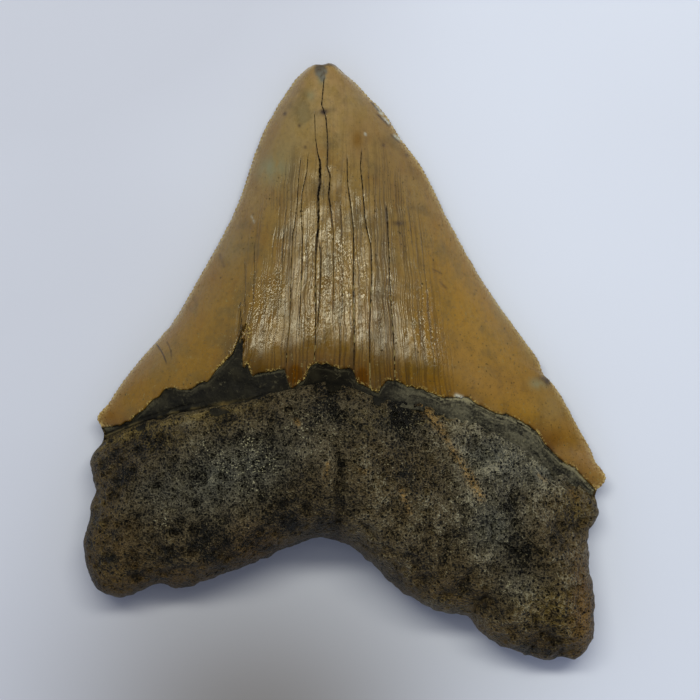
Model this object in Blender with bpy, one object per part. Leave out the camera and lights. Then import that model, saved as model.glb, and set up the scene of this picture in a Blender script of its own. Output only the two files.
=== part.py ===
"""A fossil megalodon tooth, one solid grown as one piece, at its real size.

The tooth lies on its labial face with the lingual face up. +X runs towards the longer root lobe, +Y to the
tip and +Z up, with the origin under the middle of its box. The outline is a few chosen points on each
stretch, joined by smooth curves. Each face is a web of rows and columns inside that outline: the root from
its basal edge up to the bourlette, the bourlette, and the enamel crown up to the worn tip. Heights come
from formulas of how far across, how far up and how far from the rim a point is.
"""

import bpy
import numpy as np
from mathutils import Vector, noise

MM = 0.001

# Outline in plan, in millimetres, each stretch from left to right or from the root upwards.
BASAL_EDGE = [
    (-49.9, -40.6), (-48.5, -43.5), (-46.2, -45.2), (-43.3, -45.9), (-38.4, -44.2), (-35.3, -43.2),
    (-33.7, -44.0), (-31.0, -43.9), (-25.8, -42.2), (-16.4, -38.6), (-7.4, -34.8), (-4.2, -34.2),
    (-1.6, -34.8), (1.2, -36.0), (4.8, -39.0), (11.9, -45.4), (18.3, -48.6), (24.3, -49.9),
    (26.2, -52.5), (29.1, -54.7), (36.2, -57.3), (39.0, -58.2), (41.6, -57.5), (44.9, -57.7), (46.6, -56.0)]
LEFT_ROOT_SIDE = [(-49.9, -40.6), (-50.7, -36.5), (-50.4, -33.5), (-49.5, -29.5), (-48.5, -24.4),
                  (-49.7, -20.3), (-48.8, -17.9), (-47.1, -15.6)]
RIGHT_ROOT_SIDE = [(46.6, -56.0), (47.9, -54.3), (48.4, -50.0), (48.4, -45.6), (47.1, -37.0),
                   (47.4, -33.1), (49.1, -29.6), (48.6, -26.5)]
LEFT_CUTTING_EDGE = [(-47.2, -13.3), (-48.3, -11.5), (-46.0, -8.0), (-40.4, -0.2), (-33.7, 7.6),
                     (-29.1, 15.4), (-20.1, 33.3), (-15.6, 45.8), (-11.7, 52.4), (-7.2, 57.4)]
RIGHT_CUTTING_EDGE = [(48.9, -25.3), (50.9, -23.0), (48.7, -18.6), (45.4, -12.7), (42.1, -6.6),
                      (37.8, 0.2), (27.1, 15.4), (20.5, 27.1), (14.4, 39.0), (9.1, 46.6), (5.1, 51.3),
                      (-0.8, 56.7)]
WORN_TIP = [(-7.2, 57.4), (-5.9, 58.1), (-3.0, 58.3), (-0.8, 56.7)]

# The lingual enamel's ragged lower edge, with its open crack and two tongues, as heights over x.
ENAMEL_EDGE = [
    (-47.2, -13.3), (-43.8, -12.6), (-38.7, -9.2), (-34.5, -5.5), (-29.4, -5.6), (-27.9, -4.4),
    (-24.4, -1.8), (-21.2, 0.8), (-19.8, 3.9), (-18.5, -0.4), (-17.0, -2.7), (-11.6, -1.9),
    (-10.7, -4.7), (-8.8, -4.7), (-7.6, -3.8), (-6.5, -1.0), (-3.1, -0.8), (1.3, -1.8), (3.0, -4.2),
    (6.1, -6.2), (8.4, -3.6), (11.1, -4.9), (18.3, -6.9), (22.6, -6.8), (28.3, -9.8), (34.1, -11.8),
    (38.2, -15.8), (44.1, -20.6), (48.9, -25.3)]
ROOT_TOP = [(-47.1, -15.6), (-39.9, -12.5), (-31.2, -10.1), (-22.8, -8.6), (-13.8, -6.4), (-6.4, -5.4),
            (-0.8, -5.6), (6.3, -7.6), (10.7, -7.8), (15.8, -8.8), (25.1, -11.8), (37.1, -18.1),
            (42.9, -22.0), (48.6, -26.5)]
# The labial enamel ends in a plain shallow arch, with no bourlette under it.
LABIAL_EDGE = [(-47.2, -13.3), (-32.0, -13.8), (-12.0, -11.2), (6.0, -12.0), (26.0, -17.0), (48.9, -25.3)]

# The smooth arch that the ragged edge departs from, and that carries the crown's shape upwards.
ENAMEL_ARCH = [(-47.2, -13.3), (-36.0, -8.0), (-22.0, -3.0), (-5.7, -0.9), (12.0, -4.0), (30.0, -11.0),
               (48.9, -25.3)]

# Lines that the columns follow down the middle of the tooth.
MAIN_CRACK = [(-5.7, -0.9), (-5.5, 7.4), (-5.6, 12.3), (-5.1, 31.2), (-4.9, 35.3), (-5.4, 41.1),
              (-5.8, 48.0), (-5.2, 53.0), (-4.3, 58.2)]
NUTRIENT_CREASE = [(-2.2, -34.7), (-0.7, -27.0), (-0.9, -19.0), (-5.7, -5.4)]

# Places up the tooth: 0 at the basal edge, 1 where the crown starts and 2 at the tip.
ROOT_END, BOURLETTE_START, BOURLETTE_END, CRACK_END = 0.96, 0.97, 0.99, 1.97

# Thicknesses in millimetres.
RIM_HEIGHT = [(0.0, 6.0), (0.8, 6.0), (1.1, 4.4), (2.0, 1.9)]  # place up the tooth, height of the rim
RIM_SOFTENING = 0.16  # how far up and down the tooth the rim's bends are spread
CROWN_RISE = (13.3, -1.5, -9.0)  # crown's ridge above its rim: factors of the powers of its own place
CROWN_FLANKS = 2.3  # power of the distance from the middle line: higher is boxier
CROWN_BLEND, LABIAL_BLEND = (0.45, 1.06), (0.8, 1.1)  # where the root's shape turns into the crown's
CROWN_BELLY = [(1.0, 3.4), (1.5, 2.3), (2.0, 1.3)]  # place up the tooth, labial swelling below the rim
LOBE_RISE, BOSS_RISE, BOSS_WIDTH = 9.0, 9.0, 0.55  # root above its rim, and its middle boss's share
ROOT_ROUNDING, CROWN_ROUNDING, LABIAL_ROUNDING, INNER_ROUNDING = 10.0, 0.9, 4.5, 3.0
ROOT_FLOOR, ROOT_HOLLOW, HOLLOW_WIDTH = 5.6, 1.6, 0.3  # labial side of the root, and its shallow hollow
BOURLETTE_DIP, DIP_SPREAD, ENAMEL_STEP, ROOT_STEP, LABIAL_STEP = 1.0, 0.08, 0.7, 0.45, 0.3
CREASE_DEPTH, CREASE_WIDTH = 1.3, 1.1
CRACK_DEPTH, CRACK_HALF_WIDTH = 0.6, 0.2
LUMP_HEIGHT, LUMP_SIZE, PIT_DEPTH, PIT_SIZE = 1.1, 9.0, 1.1, 4.2
PIT_GAIN, PIT_FLOOR = 2.2, 0.45  # the noise is stretched and cut so that pits stay apart
LABIAL_RELIEF = 0.45  # share of the lumps and pits that the labial side has
SERRATION_DEPTH = 0.3
RESTS = [(-36.0, -31.0), (35.0, -42.0), (-3.5, 36.0)]  # worn flats that the tooth lies on
REST_DEPTH, REST_SPREAD = 1.1, 6.5
LINGUAL_SEED, LABIAL_SEED, PIT_SEED = 3.0, 11.0, 5.0

# How finely the webs are divided, and where the middle line meets their borders.
ROOT_ROWS, BOURLETTE_ROWS, CROWN_ROWS = 15, 2, 24
LEFT_COLUMNS, RIGHT_COLUMNS = 25, 26
TEETH_POINTS = 9  # rim points for each crown row, two for each serration
MIDDLE = 0.44  # where across the web the middle line runs
BASAL_MIDDLE, TIP_MIDDLE = 0.435, 0.47  # where along these edges the middle line meets them
CROWDING = 1.15  # power that draws the columns towards the middle line
LOW_FADE, RAGGED_FADE, HIGH_FADE = 2, 12, 6  # powers by which a border's own shape fades into the web
STEP_GAP = 0.35
OUTLINE_POINTS = 160
SHARP_ANGLE = 0.7

COLOURS = {"root": (0.045, 0.036, 0.024), "bourlette": (0.017, 0.016, 0.013), "enamel": (0.20, 0.13, 0.047)}
ROUGHNESS = {"root": 0.8, "bourlette": 0.45, "enamel": 0.3}


def smooth_curve(points, along):
    """Points at the fractions `along` of a smooth curve: cubic arcs through the points given."""
    points = np.array(points, float)
    reach = np.concatenate(([0.0], np.cumsum(np.linalg.norm(np.diff(points, axis=0), axis=1))))
    slope = np.gradient(points, reach, axis=0)
    want = np.asarray(along) * reach[-1]
    first = np.clip(np.searchsorted(reach, want, side="right") - 1, 0, len(points) - 2)
    span = (reach[first + 1] - reach[first])[:, None]
    t = (want - reach[first])[:, None] / span
    ends = (2 * t**3 - 3 * t**2 + 1) * points[first] + (3 * t**2 - 2 * t**3) * points[first + 1]
    leans = (t**3 - 2 * t**2 + t) * slope[first] + (t**3 - t**2) * slope[first + 1]
    return ends + span * leans


def across_at(points, x):
    """Plan points at the places x along a line that is given as heights over x."""
    line = np.array(points, float)
    return np.stack((x, np.interp(x, line[:, 0], line[:, 1])), axis=1)


def step(low, high, value):
    """0 below low, 1 above high, and a smooth rise between."""
    t = np.clip((value - low) / (high - low), 0.0, 1.0)
    return t * t * (3.0 - 2.0 * t)


def columns():
    """Fractions across the web, closer together on both sides of the middle line."""
    left = MIDDLE * (1.0 - np.linspace(1.0, 0.0, LEFT_COLUMNS + 1) ** CROWDING)
    right = MIDDLE + (1.0 - MIDDLE) * np.linspace(0.0, 1.0, RIGHT_COLUMNS + 1) ** CROWDING
    return np.concatenate((left, right[1:]))


def web(left, middle, right, bottom, top, across, up, arch=None):
    """Grid of plan points between four borders and a middle line.

    Each row runs straight from the left border to the middle line and on to the right border. The grid
    is then moved by what it misses the bottom and top borders by, fading out away from each of them.
    What a ragged bottom border adds to its smooth arch fades out sooner.
    """
    guides = [smooth_curve(side, up) for side in (left, middle, right)]
    stations = np.array([0.0, MIDDLE, 1.0])
    rows = np.stack([np.stack([np.interp(across, stations, [g[r, axis] for g in guides])
                               for axis in (0, 1)], axis=1) for r in range(len(up))])
    fade = np.asarray(up)[:, None, None]
    arch = bottom if arch is None else arch
    low, high = arch - rows[0], top - rows[-1]
    return (rows + low * (1.0 - fade) ** LOW_FADE + (bottom - arch) * (1.0 - fade) ** RAGGED_FADE
            + high * fade ** HIGH_FADE)


def plan(top_edge, top_arch, root_line, across):
    """Plan points of one whole face, row by row from the basal edge to the tip."""
    stations = [0.0, MIDDLE, 1.0]
    x = np.interp(across, stations, [top_edge[0][0], MAIN_CRACK[0][0], top_edge[-1][0]])
    enamel, arch = across_at(top_edge, x), across_at(top_arch, x)
    x = np.interp(across, stations, [root_line[0][0], NUTRIENT_CREASE[-1][0], root_line[-1][0]])
    root_top = across_at(root_line, x)
    basal = smooth_curve(BASAL_EDGE, np.interp(across, stations, [0.0, BASAL_MIDDLE, 1.0]))
    tip = smooth_curve(WORN_TIP, np.interp(across, stations, [0.0, TIP_MIDDLE, 1.0]))
    crease = NUTRIENT_CREASE[:-1] + [tuple(root_top[LEFT_COLUMNS])]
    crack = [tuple(enamel[LEFT_COLUMNS])] + MAIN_CRACK[1:]
    root = web(LEFT_ROOT_SIDE, crease, RIGHT_ROOT_SIDE, basal, root_top, across,
               np.linspace(0.0, 1.0, ROOT_ROWS + 1))
    crown = web(LEFT_CUTTING_EDGE, crack, RIGHT_CUTTING_EDGE, enamel, tip, across,
                np.linspace(0.0, 1.0, CROWN_ROWS + 1), arch)
    below = enamel - [0.0, STEP_GAP]
    above = root_top + [0.0, STEP_GAP]
    share = np.linspace(0.0, 1.0, BOURLETTE_ROWS + 1)[:, None, None]
    bourlette = above * (1.0 - share) + below * share
    return np.concatenate((root, bourlette, crown))


def band_coordinate():
    """0 at the basal edge, 1 where the crown starts and 2 at the tip, for each row."""
    root = np.linspace(0.0, ROOT_END, ROOT_ROWS + 1)
    bourlette = np.linspace(BOURLETTE_START, BOURLETTE_END, BOURLETTE_ROWS + 1)
    return np.concatenate((root, bourlette, np.linspace(1.0, 2.0, CROWN_ROWS + 1)))[:, None]


def rim_height(band):
    """Height of the line where the two faces meet, a mean of five places so that its bends are soft."""
    return np.mean([np.interp(band + shift, *np.transpose(RIM_HEIGHT))
                    for shift in np.linspace(-RIM_SOFTENING, RIM_SOFTENING, 5)], axis=0)


def rounded(distance, radius):
    """A quarter ellipse: 0 on the rim, 1 from the radius inwards."""
    inwards = np.clip(distance / radius, 0.0, 1.0)
    return np.sqrt(1.0 - (1.0 - inwards) ** 2)


def rough(points, size, seed):
    """Seeded smooth noise between about -1 and 1, for each plan point of a grid."""
    flat = points.reshape(-1, 2) / size
    values = [noise.noise(Vector((x, y, seed))) for x, y in flat]
    return np.array(values).reshape(points.shape[:2])


def root_relief(points, share, seed):
    """Lumps and pits of the worn root, faded out by `share`."""
    lumps = LUMP_HEIGHT * rough(points, LUMP_SIZE, seed)
    hollows = np.abs(rough(points, PIT_SIZE, seed + PIT_SEED)) * PIT_GAIN - PIT_FLOOR
    pits = PIT_DEPTH * np.clip(hollows, 0.0, 1.0)
    return (lumps - pits) * share


def lingual_heights(points, across, band, distance):
    """Heights of the upper face: convex crown, dipped bourlette, and root with its boss and crease."""
    side = np.interp(across, [0.0, MIDDLE, 1.0], [-1.0, 0.0, 1.0])
    crown_share = step(*CROWN_BLEND, band)
    ridge = np.polynomial.polynomial.polyval(band - 1.0, CROWN_RISE)
    crown = ridge * (1.0 - np.abs(side) ** CROWN_FLANKS)
    root = LOBE_RISE + BOSS_RISE * np.exp(-((side / BOSS_WIDTH) ** 2))
    rise = crown_share * crown + (1.0 - crown_share) * root
    radius = ROOT_ROUNDING + (CROWN_ROUNDING - ROOT_ROUNDING) * step(0.7, 1.1, band)
    rise = rise * rounded(distance, radius)
    inner = rounded(distance, INNER_ROUNDING)
    rise -= BOURLETTE_DIP * np.exp(-(((band - BOURLETTE_START) / DIP_SPREAD) ** 2)) * inner
    rise += ENAMEL_STEP * (band >= 1.0) * (1.0 - step(1.0, 1.5, band)) * inner
    rise += ROOT_STEP * (band <= ROOT_END) * inner
    rise += root_relief(points, (band <= ROOT_END) * inner, LINGUAL_SEED)
    crease = NUTRIENT_CREASE[1][0] - points[..., 0]
    rise -= CREASE_DEPTH * np.exp(-((crease / CREASE_WIDTH) ** 2)) * (1.0 - step(0.5, 0.75, band)) * inner
    return rim_height(band) + rise


def labial_heights(points, across, band, distance):
    """Heights of the lower face: a low belly under the crown, a shallow hollow and three worn flats."""
    side = np.interp(across, [0.0, MIDDLE, 1.0], [-1.0, 0.0, 1.0])
    crown_share = step(*LABIAL_BLEND, band)
    crown = np.interp(band, *np.transpose(CROWN_BELLY)) * (1.0 - side**2) * rounded(distance, CROWN_ROUNDING)
    root = ROOT_FLOOR * rounded(distance, LABIAL_ROUNDING)
    root -= ROOT_HOLLOW * np.exp(-((side / HOLLOW_WIDTH) ** 2)) * rounded(distance, 3.0 * LABIAL_ROUNDING)
    inner = rounded(distance, INNER_ROUNDING)
    drop = crown_share * crown + (1.0 - crown_share) * root
    drop -= LABIAL_STEP * (band < 1.0) * inner * crown_share
    drop += LABIAL_RELIEF * root_relief(points, (band <= ROOT_END) * inner, LABIAL_SEED)
    for centre in RESTS:
        reach = np.linalg.norm(points - centre, axis=2) / REST_SPREAD
        drop += REST_DEPTH * np.exp(-(reach**2) / 2.0)
    return np.maximum(rim_height(band) - drop, 0.0)


def serrated(points):
    """The points of a cutting edge, with every second one drawn in to make a serration."""
    along = np.gradient(points, axis=0)
    inwards = np.stack((-along[:, 1], along[:, 0]), axis=1) / np.linalg.norm(along, axis=1)[:, None]
    inwards *= np.sign(np.sum(-points * inwards, axis=1))[:, None]
    drawn_in = SERRATION_DEPTH * (np.arange(len(points)) % 2)
    drawn_in[-1] = 0.0
    return points + inwards * drawn_in[:, None]


def quads(grid, first_row, last_row, first_column, last_column):
    """Triangles of a block of the web, its diagonals mirrored on the middle line."""
    a = grid[first_row:last_row, first_column:last_column]
    b = grid[first_row:last_row, first_column + 1:last_column + 1]
    c = grid[first_row + 1:last_row + 1, first_column + 1:last_column + 1]
    d = grid[first_row + 1:last_row + 1, first_column:last_column]
    left = (np.arange(first_column, last_column) < LEFT_COLUMNS)[None, :, None]
    one = np.where(left, np.stack((a, b, c), axis=2), np.stack((a, b, d), axis=2))
    two = np.where(left, np.stack((a, c, d), axis=2), np.stack((b, c, d), axis=2))
    return np.concatenate((one.reshape(-1, 3), two.reshape(-1, 3)))


def edge_fan(inner, fine):
    """Triangles from a column of the crown to the finer points of the cutting edge beside it."""
    faces = []
    last = len(inner) - 2
    for row in range(len(inner) - 1):
        run = fine[row * TEETH_POINTS:(row + 1) * TEETH_POINTS + 1]
        turn = TEETH_POINTS if row == last else TEETH_POINTS // 2
        faces += [(inner[row], run[k + 1], run[k]) for k in range(turn)]
        faces += [(inner[row + 1], run[k + 1], run[k]) for k in range(turn, TEETH_POINTS)]
        faces.append((inner[row], inner[row + 1], run[turn]))
    return np.array(faces)


def face_triangles(grid, left_rim, right_rim):
    """Triangles of one face seen from above, with the fans along both cutting edges."""
    crown = len(grid) - 1 - CROWN_ROWS
    width = grid.shape[1] - 1
    return np.concatenate((
        quads(grid, 0, crown, 0, width),
        quads(grid, crown, len(grid) - 1, 1, width - 1),
        edge_fan(grid[crown:, 1], left_rim),
        edge_fan(grid[crown:, -2], right_rim)[:, ::-1]))


def sink_crack(points, heights, band):
    """Make the middle columns of the crown a narrow groove from the enamel's edge to near the tip."""
    crown = (band[:, 0] >= 1.0) & (band[:, 0] < CRACK_END)
    for offset in (-1, 1):
        points[crown, LEFT_COLUMNS + offset] = points[crown, LEFT_COLUMNS] + [offset * CRACK_HALF_WIDTH, 0.0]
    heights[crown, LEFT_COLUMNS] -= CRACK_DEPTH


def rim_distance(points, outline):
    """How far each plan point is from the outline."""
    gaps = points[:, :, None, :] - outline[None, None, :, :]
    return np.sqrt((gaps**2).sum(axis=3).min(axis=2))


def build_tooth():
    """Vertices, triangles and the finish of each triangle, in millimetres."""
    across, band = columns(), band_coordinate()
    dense = np.linspace(0.0, 1.0, OUTLINE_POINTS)
    outline = np.concatenate([smooth_curve(line, dense) for line in (
        BASAL_EDGE, LEFT_ROOT_SIDE, RIGHT_ROOT_SIDE, LEFT_CUTTING_EDGE, RIGHT_CUTTING_EDGE, WORN_TIP)])
    upper = plan(ENAMEL_EDGE, ENAMEL_ARCH, ROOT_TOP, across)
    lower = plan(LABIAL_EDGE, LABIAL_EDGE, [(x, y - 3.0 * STEP_GAP) for x, y in LABIAL_EDGE], across)
    for border in (np.s_[0], np.s_[-1], np.s_[:, 0], np.s_[:, -1]):
        lower[border] = upper[border]
    upper_z = lingual_heights(upper, across, band, rim_distance(upper, outline))
    lower_z = labial_heights(lower, across, band, rim_distance(lower, outline))
    sink_crack(upper, upper_z, band)
    for border in (np.s_[0], np.s_[-1], np.s_[:, 0], np.s_[:, -1]):
        upper_z[border] = np.broadcast_to(rim_height(band), upper_z.shape)[border]

    rows, width = upper_z.shape
    top = np.arange(rows * width).reshape(rows, width)
    bottom = top.copy()
    inside = np.s_[1:-1, 1:-1]
    bottom[inside] = rows * width + np.arange((rows - 2) * (width - 2)).reshape(rows - 2, width - 2)
    vertices = [np.dstack((upper, upper_z)).reshape(-1, 3),
                np.dstack((lower, lower_z))[inside].reshape(-1, 3)]

    rims, count = [], sum(map(len, vertices))
    fine = np.linspace(0.0, 1.0, CROWN_ROWS * TEETH_POINTS + 1)
    crown = rows - 1 - CROWN_ROWS
    for line, column in ((LEFT_CUTTING_EDGE, 0), (RIGHT_CUTTING_EDGE, width - 1)):
        teeth = serrated(smooth_curve(line, fine))
        heights = rim_height(1.0 + fine)
        ring = count + np.arange(len(fine))
        ring[::TEETH_POINTS] = top[crown:, column]
        vertices[0][ring[::TEETH_POINTS], :2] = teeth[::TEETH_POINTS]
        vertices.append(np.column_stack((teeth, heights)))
        count += len(fine)
        rims.append(ring)
    vertices = np.concatenate(vertices)

    above = face_triangles(top, *rims)
    below = face_triangles(bottom, *rims)[:, ::-1]
    triangles = np.concatenate((above, below))
    return vertices, triangles, finish_of(triangles, top, bottom, count)


def finish_of(triangles, top, bottom, count):
    """0 for the root, 1 for the bourlette and 2 for the enamel, read from the rows of each corner."""
    kind = np.full(count, 2)
    crown = len(top) - 1 - CROWN_ROWS
    kind[top[:crown]] = 1
    kind[bottom[:crown]] = 0
    kind[top[:ROOT_ROWS + 1]] = 0
    return kind[triangles].max(axis=1)


def principled(name):
    """A Principled BSDF material with the finish's colour and roughness."""
    material = bpy.data.materials.new(name)
    material.use_nodes = True
    shader = material.node_tree.nodes["Principled BSDF"]
    shader.inputs["Base Color"].default_value = (*COLOURS[name], 1.0)
    shader.inputs["Roughness"].default_value = ROUGHNESS[name]
    shader.inputs["Metallic"].default_value = 0.0
    return material


def main():
    for old in list(bpy.data.objects):
        bpy.data.objects.remove(old, do_unlink=True)
    collection = bpy.data.collections.new("megalodon_tooth")
    bpy.context.scene.collection.children.link(collection)

    vertices, triangles, finish = build_tooth()
    used, triangles = np.unique(triangles, return_inverse=True)
    vertices = vertices[used]
    middle = (vertices.min(axis=0) + vertices.max(axis=0)) / 2.0
    vertices[:, :2] -= middle[:2]
    mesh = bpy.data.meshes.new("tooth")
    mesh.from_pydata((vertices * MM).tolist(), [], triangles.reshape(-1, 3).tolist())
    for name in ("root", "bourlette", "enamel"):
        mesh.materials.append(principled(name))
    mesh.polygons.foreach_set("material_index", finish)
    mesh.validate()
    mesh.shade_smooth()
    mesh.set_sharp_from_angle(angle=SHARP_ANGLE)
    tooth = bpy.data.objects.new("tooth", mesh)
    collection.objects.link(tooth)


main()
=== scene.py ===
"""Dresses the megalodon tooth: enamel crown, bourlette and root as fine meshes, on a pale studio floor.

All shapes are surfaces worked out with numpy in millimetres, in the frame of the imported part, and are scaled
to metres when they become meshes. The crown and the root are each a web: a surface of two parameters, where
`across` runs from the left side (0) to the right side (1) and `up` from the web's lower border (0) to its
upper border (1). Heights come from how far across, how far up and how far from the rim a point lies.
"""

import logging
import math
from collections.abc import Callable, Sequence
from dataclasses import dataclass, field
from enum import Enum

import bpy
import numpy as np
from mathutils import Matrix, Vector


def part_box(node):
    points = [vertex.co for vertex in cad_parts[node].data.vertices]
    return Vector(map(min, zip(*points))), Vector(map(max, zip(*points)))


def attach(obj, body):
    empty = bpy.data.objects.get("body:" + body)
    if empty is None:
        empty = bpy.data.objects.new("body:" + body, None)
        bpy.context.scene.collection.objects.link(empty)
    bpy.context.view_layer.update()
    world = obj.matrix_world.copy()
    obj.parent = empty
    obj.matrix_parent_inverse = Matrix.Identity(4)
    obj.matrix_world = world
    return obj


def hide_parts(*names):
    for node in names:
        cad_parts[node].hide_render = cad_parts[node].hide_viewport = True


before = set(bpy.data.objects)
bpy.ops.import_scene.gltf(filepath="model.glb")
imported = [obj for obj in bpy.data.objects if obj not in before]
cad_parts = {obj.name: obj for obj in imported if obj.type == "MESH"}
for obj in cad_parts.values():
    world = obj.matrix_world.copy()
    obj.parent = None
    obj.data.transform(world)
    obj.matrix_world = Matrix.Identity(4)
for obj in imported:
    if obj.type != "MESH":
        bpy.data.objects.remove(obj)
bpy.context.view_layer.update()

LOG = logging.getLogger("tooth")
MM = 0.001
BODY, NODE = "root", "tooth"
MIDDLE, MIDDLE_X = 0.44, -5.7  # where across a web its middle line runs, and its x on straight borders
INNER_ROUNDING = 3.0  # how far in from the rim a face's own relief has its full height, in millimetres
FAR = 99.0  # farther than any mark reaches, in millimetres
STEP_SHARE = 0.8  # share of each step that a search takes towards its line
HASH_SCALE = 43758.5453  # spreads the sines of a hash
HASHES = ((127.1, 311.7), (269.5, 183.3), (419.2, 371.9))  # factors of a cell's two numbers in a hash

Array = np.ndarray
Colour = tuple[float, float, float]
Mark = tuple[float, ...]
Points = Sequence[tuple[float, float]]
Border = Callable[[Array], Array]


# --------------------------------------------------------------------------------------------------- formulas

def smooth_curve(points: Points, along: Array) -> Array:
    """Cubic arcs through the points given, with slopes from central differences over the chord lengths.

    Args:
        points: Plan points that the curve passes through.
        along: Fractions of its length, in an array of any shape.

    Returns:
        A plan point for each fraction.
    """
    knots = np.array(points, float)
    reach = np.concatenate(([0.0], np.cumsum(np.linalg.norm(np.diff(knots, axis=0), axis=1))))
    slope = np.gradient(knots, reach, axis=0)
    want = np.asarray(along, float) * reach[-1]
    first = np.clip(np.searchsorted(reach, want, side="right") - 1, 0, len(knots) - 2)
    span = (reach[first + 1] - reach[first])[..., None]
    t = (want - reach[first])[..., None] / span
    ends = (2 * t**3 - 3 * t**2 + 1) * knots[first] + (3 * t**2 - 2 * t**3) * knots[first + 1]
    leans = (t**3 - 2 * t**2 + t) * slope[first] + (t**3 - t**2) * slope[first + 1]
    return ends + span * leans


def rise(low: float, high: float, value: Array) -> Array:
    """0 below low, 1 above high, and a smooth step between."""
    t = np.clip((value - low) / (high - low), 0.0, 1.0)
    return t * t * (3.0 - 2.0 * t)


def rounded(gap: Array, radius: Array | float) -> Array:
    """A quarter ellipse: 0 on the rim, 1 from the radius inwards."""
    return np.sqrt(1.0 - (1.0 - np.clip(gap / radius, 0.0, 1.0)) ** 2)


def inside(gap: Array) -> Array:
    """0 on the rim and 1 a little way in: the share that a face's own relief has."""
    return rounded(gap, INNER_ROUNDING)


def bell(value: Array, middle: Array | float, width: float) -> Array:
    """A soft bump: 1 in its middle, and next to nothing two widths away."""
    return np.exp(-(((value - middle) / width) ** 2))


def line_at(line: Points, x: Array) -> Array:
    """Height over x of a line given from left to right."""
    return np.interp(x, *np.transpose(line))


def side_of(across: Array) -> Array:
    """-1 on the left rim, 0 on the middle line and 1 on the right rim."""
    return np.interp(across, (0.0, MIDDLE, 1.0), (-1.0, 0.0, 1.0))


def windows(values: Array, reach: int) -> Array:
    """For each value, the values within `reach` places on either side of it."""
    return np.lib.stride_tricks.sliding_window_view(np.pad(values, reach, mode="edge"), 2 * reach + 1)


def fractional(values: Array) -> Array:
    """What is left of the values above their whole numbers."""
    return values - np.floor(values)


def ripple(x: Array, y: Array, seed: float) -> Array:
    """Gradient noise between about -1 and 1.

    Each corner of the unit grid has a slope in a direction hashed from its place and the seed. The four
    slopes round a point are blended by quintic steps.

    Args:
        x: First coordinate, in cells.
        y: Second coordinate, in cells.
        seed: Picks one pattern.

    Returns:
        A value for each place.
    """
    across, up = HASHES[0]
    cell_x, cell_y = np.floor(x), np.floor(y)
    u, v = x - cell_x, y - cell_y
    blend_u, blend_v = (w**3 * (w * (w * 6.0 - 15.0) + 10.0) for w in (u, v))

    def corner(dx: int, dy: int) -> Array:
        """The slope of one corner, times the way from it."""
        hashed = np.sin((cell_x + dx) * across + (cell_y + dy) * up + seed * 74.7) * HASH_SCALE
        turn = 2.0 * np.pi * fractional(hashed)
        return np.cos(turn) * (u - dx) + np.sin(turn) * (v - dy)

    low = corner(0, 0) * (1.0 - blend_u) + corner(1, 0) * blend_u
    high = corner(0, 1) * (1.0 - blend_u) + corner(1, 1) * blend_u
    return 1.5 * (low * (1.0 - blend_v) + high * blend_v)


def layered(plan: Array, size: float, seed: float, layers: int) -> Array:
    """Ripples of the size given, with finer ones of half the height on top of them."""
    total = 0.0
    for layer in range(layers):
        scale = 2.0**layer / size
        total = total + ripple(plan[..., 0] * scale, plan[..., 1] * scale, seed + layer) / 2.0**layer
    return total


def layered_over(run: Array, size: float, seed: float, layers: int) -> Array:
    """Layered ripples that vary in one direction only."""
    return layered(np.stack((run, 0.0 * run), axis=-1), size, seed, layers)


def pores(plan: Array, size: float, seed: float, radius: float) -> Array:
    """Scattered round pits: 1 in the middle of a pit and 0 outside it.

    Every cell of a grid holds one pit, at a hashed place and with a hashed radius up to the one given.

    Args:
        plan: Plan points in millimetres.
        size: Width of a cell.
        seed: Picks one pattern.
        radius: The largest pit's radius.

    Returns:
        The depth share for each point.
    """
    x, y = plan[..., 0] / size, plan[..., 1] / size
    deepest = np.zeros_like(x)
    for dx in (-1, 0, 1):
        for dy in (-1, 0, 1):
            cell_x, cell_y = np.floor(x) + dx, np.floor(y) + dy
            place_x, place_y, grade = (fractional(np.sin(cell_x * a + cell_y * b + seed * 31.7) * HASH_SCALE)
                                       for a, b in HASHES)
            away = np.hypot(x - cell_x - place_x, y - cell_y - place_y) * size
            wide = radius * (0.25 + 0.75 * grade**3)
            deepest = np.maximum(deepest, 1.0 - rise(0.35, 1.0, away / wide))
    return deepest


def spots(plan: Array, marks: Sequence[Mark]) -> Array:
    """Soft round or oval marks added up: each is x, y, half width, half height and strength."""
    total = np.zeros(plan.shape[:-1])
    for x, y, wide, high, strength in marks:
        reach = ((plan[..., 0] - x) / wide) ** 2 + ((plan[..., 1] - y) / high) ** 2
        total = total + strength * np.exp(-reach)
    return total


def strokes(plan: Array, marks: Sequence[Mark]) -> Array:
    """Soft strokes, the strongest at each point: each is from x, y to x, y, with half width and strength."""
    total = np.zeros(plan.shape[:-1])
    for x0, y0, x1, y1, wide, strength in marks:
        run = np.array([x1 - x0, y1 - y0])
        way = plan - [x0, y0]
        share = np.clip((way @ run) / (run @ run), 0.0, 1.0)
        away = np.linalg.norm(way - share[..., None] * run, axis=-1)
        total = np.maximum(total, strength * np.exp(-((away / wide) ** 2)))
    return total


def nearest(plan: Array, line: Array) -> Array:
    """How far each plan point lies from a line.

    The nearest of the line's own points is found first, and then the way to the two pieces that meet there.

    Args:
        plan: Plan points, in an array of any shape.
        line: The line's points, in order.

    Returns:
        The distances, in the same shape.
    """
    flat = plan.reshape(-1, 2)
    found = []
    for block in np.array_split(flat, max(1, len(flat) // 20000)):
        squares = (block**2).sum(axis=1)[:, None] + (line**2).sum(axis=1) - 2.0 * block @ line.T
        closest = squares.argmin(axis=1)
        best = np.full(len(block), np.inf)
        for back in (1, 0):
            first = np.clip(closest - back, 0, len(line) - 2)
            run, way = line[first + 1] - line[first], block - line[first]
            share = np.clip((way * run).sum(axis=1) / np.maximum((run**2).sum(axis=1), 1e-12), 0.0, 1.0)
            best = np.minimum(best, np.linalg.norm(way - share[:, None] * run, axis=1))
        found.append(best)
    return np.concatenate(found).reshape(plan.shape[:-1])


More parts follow.
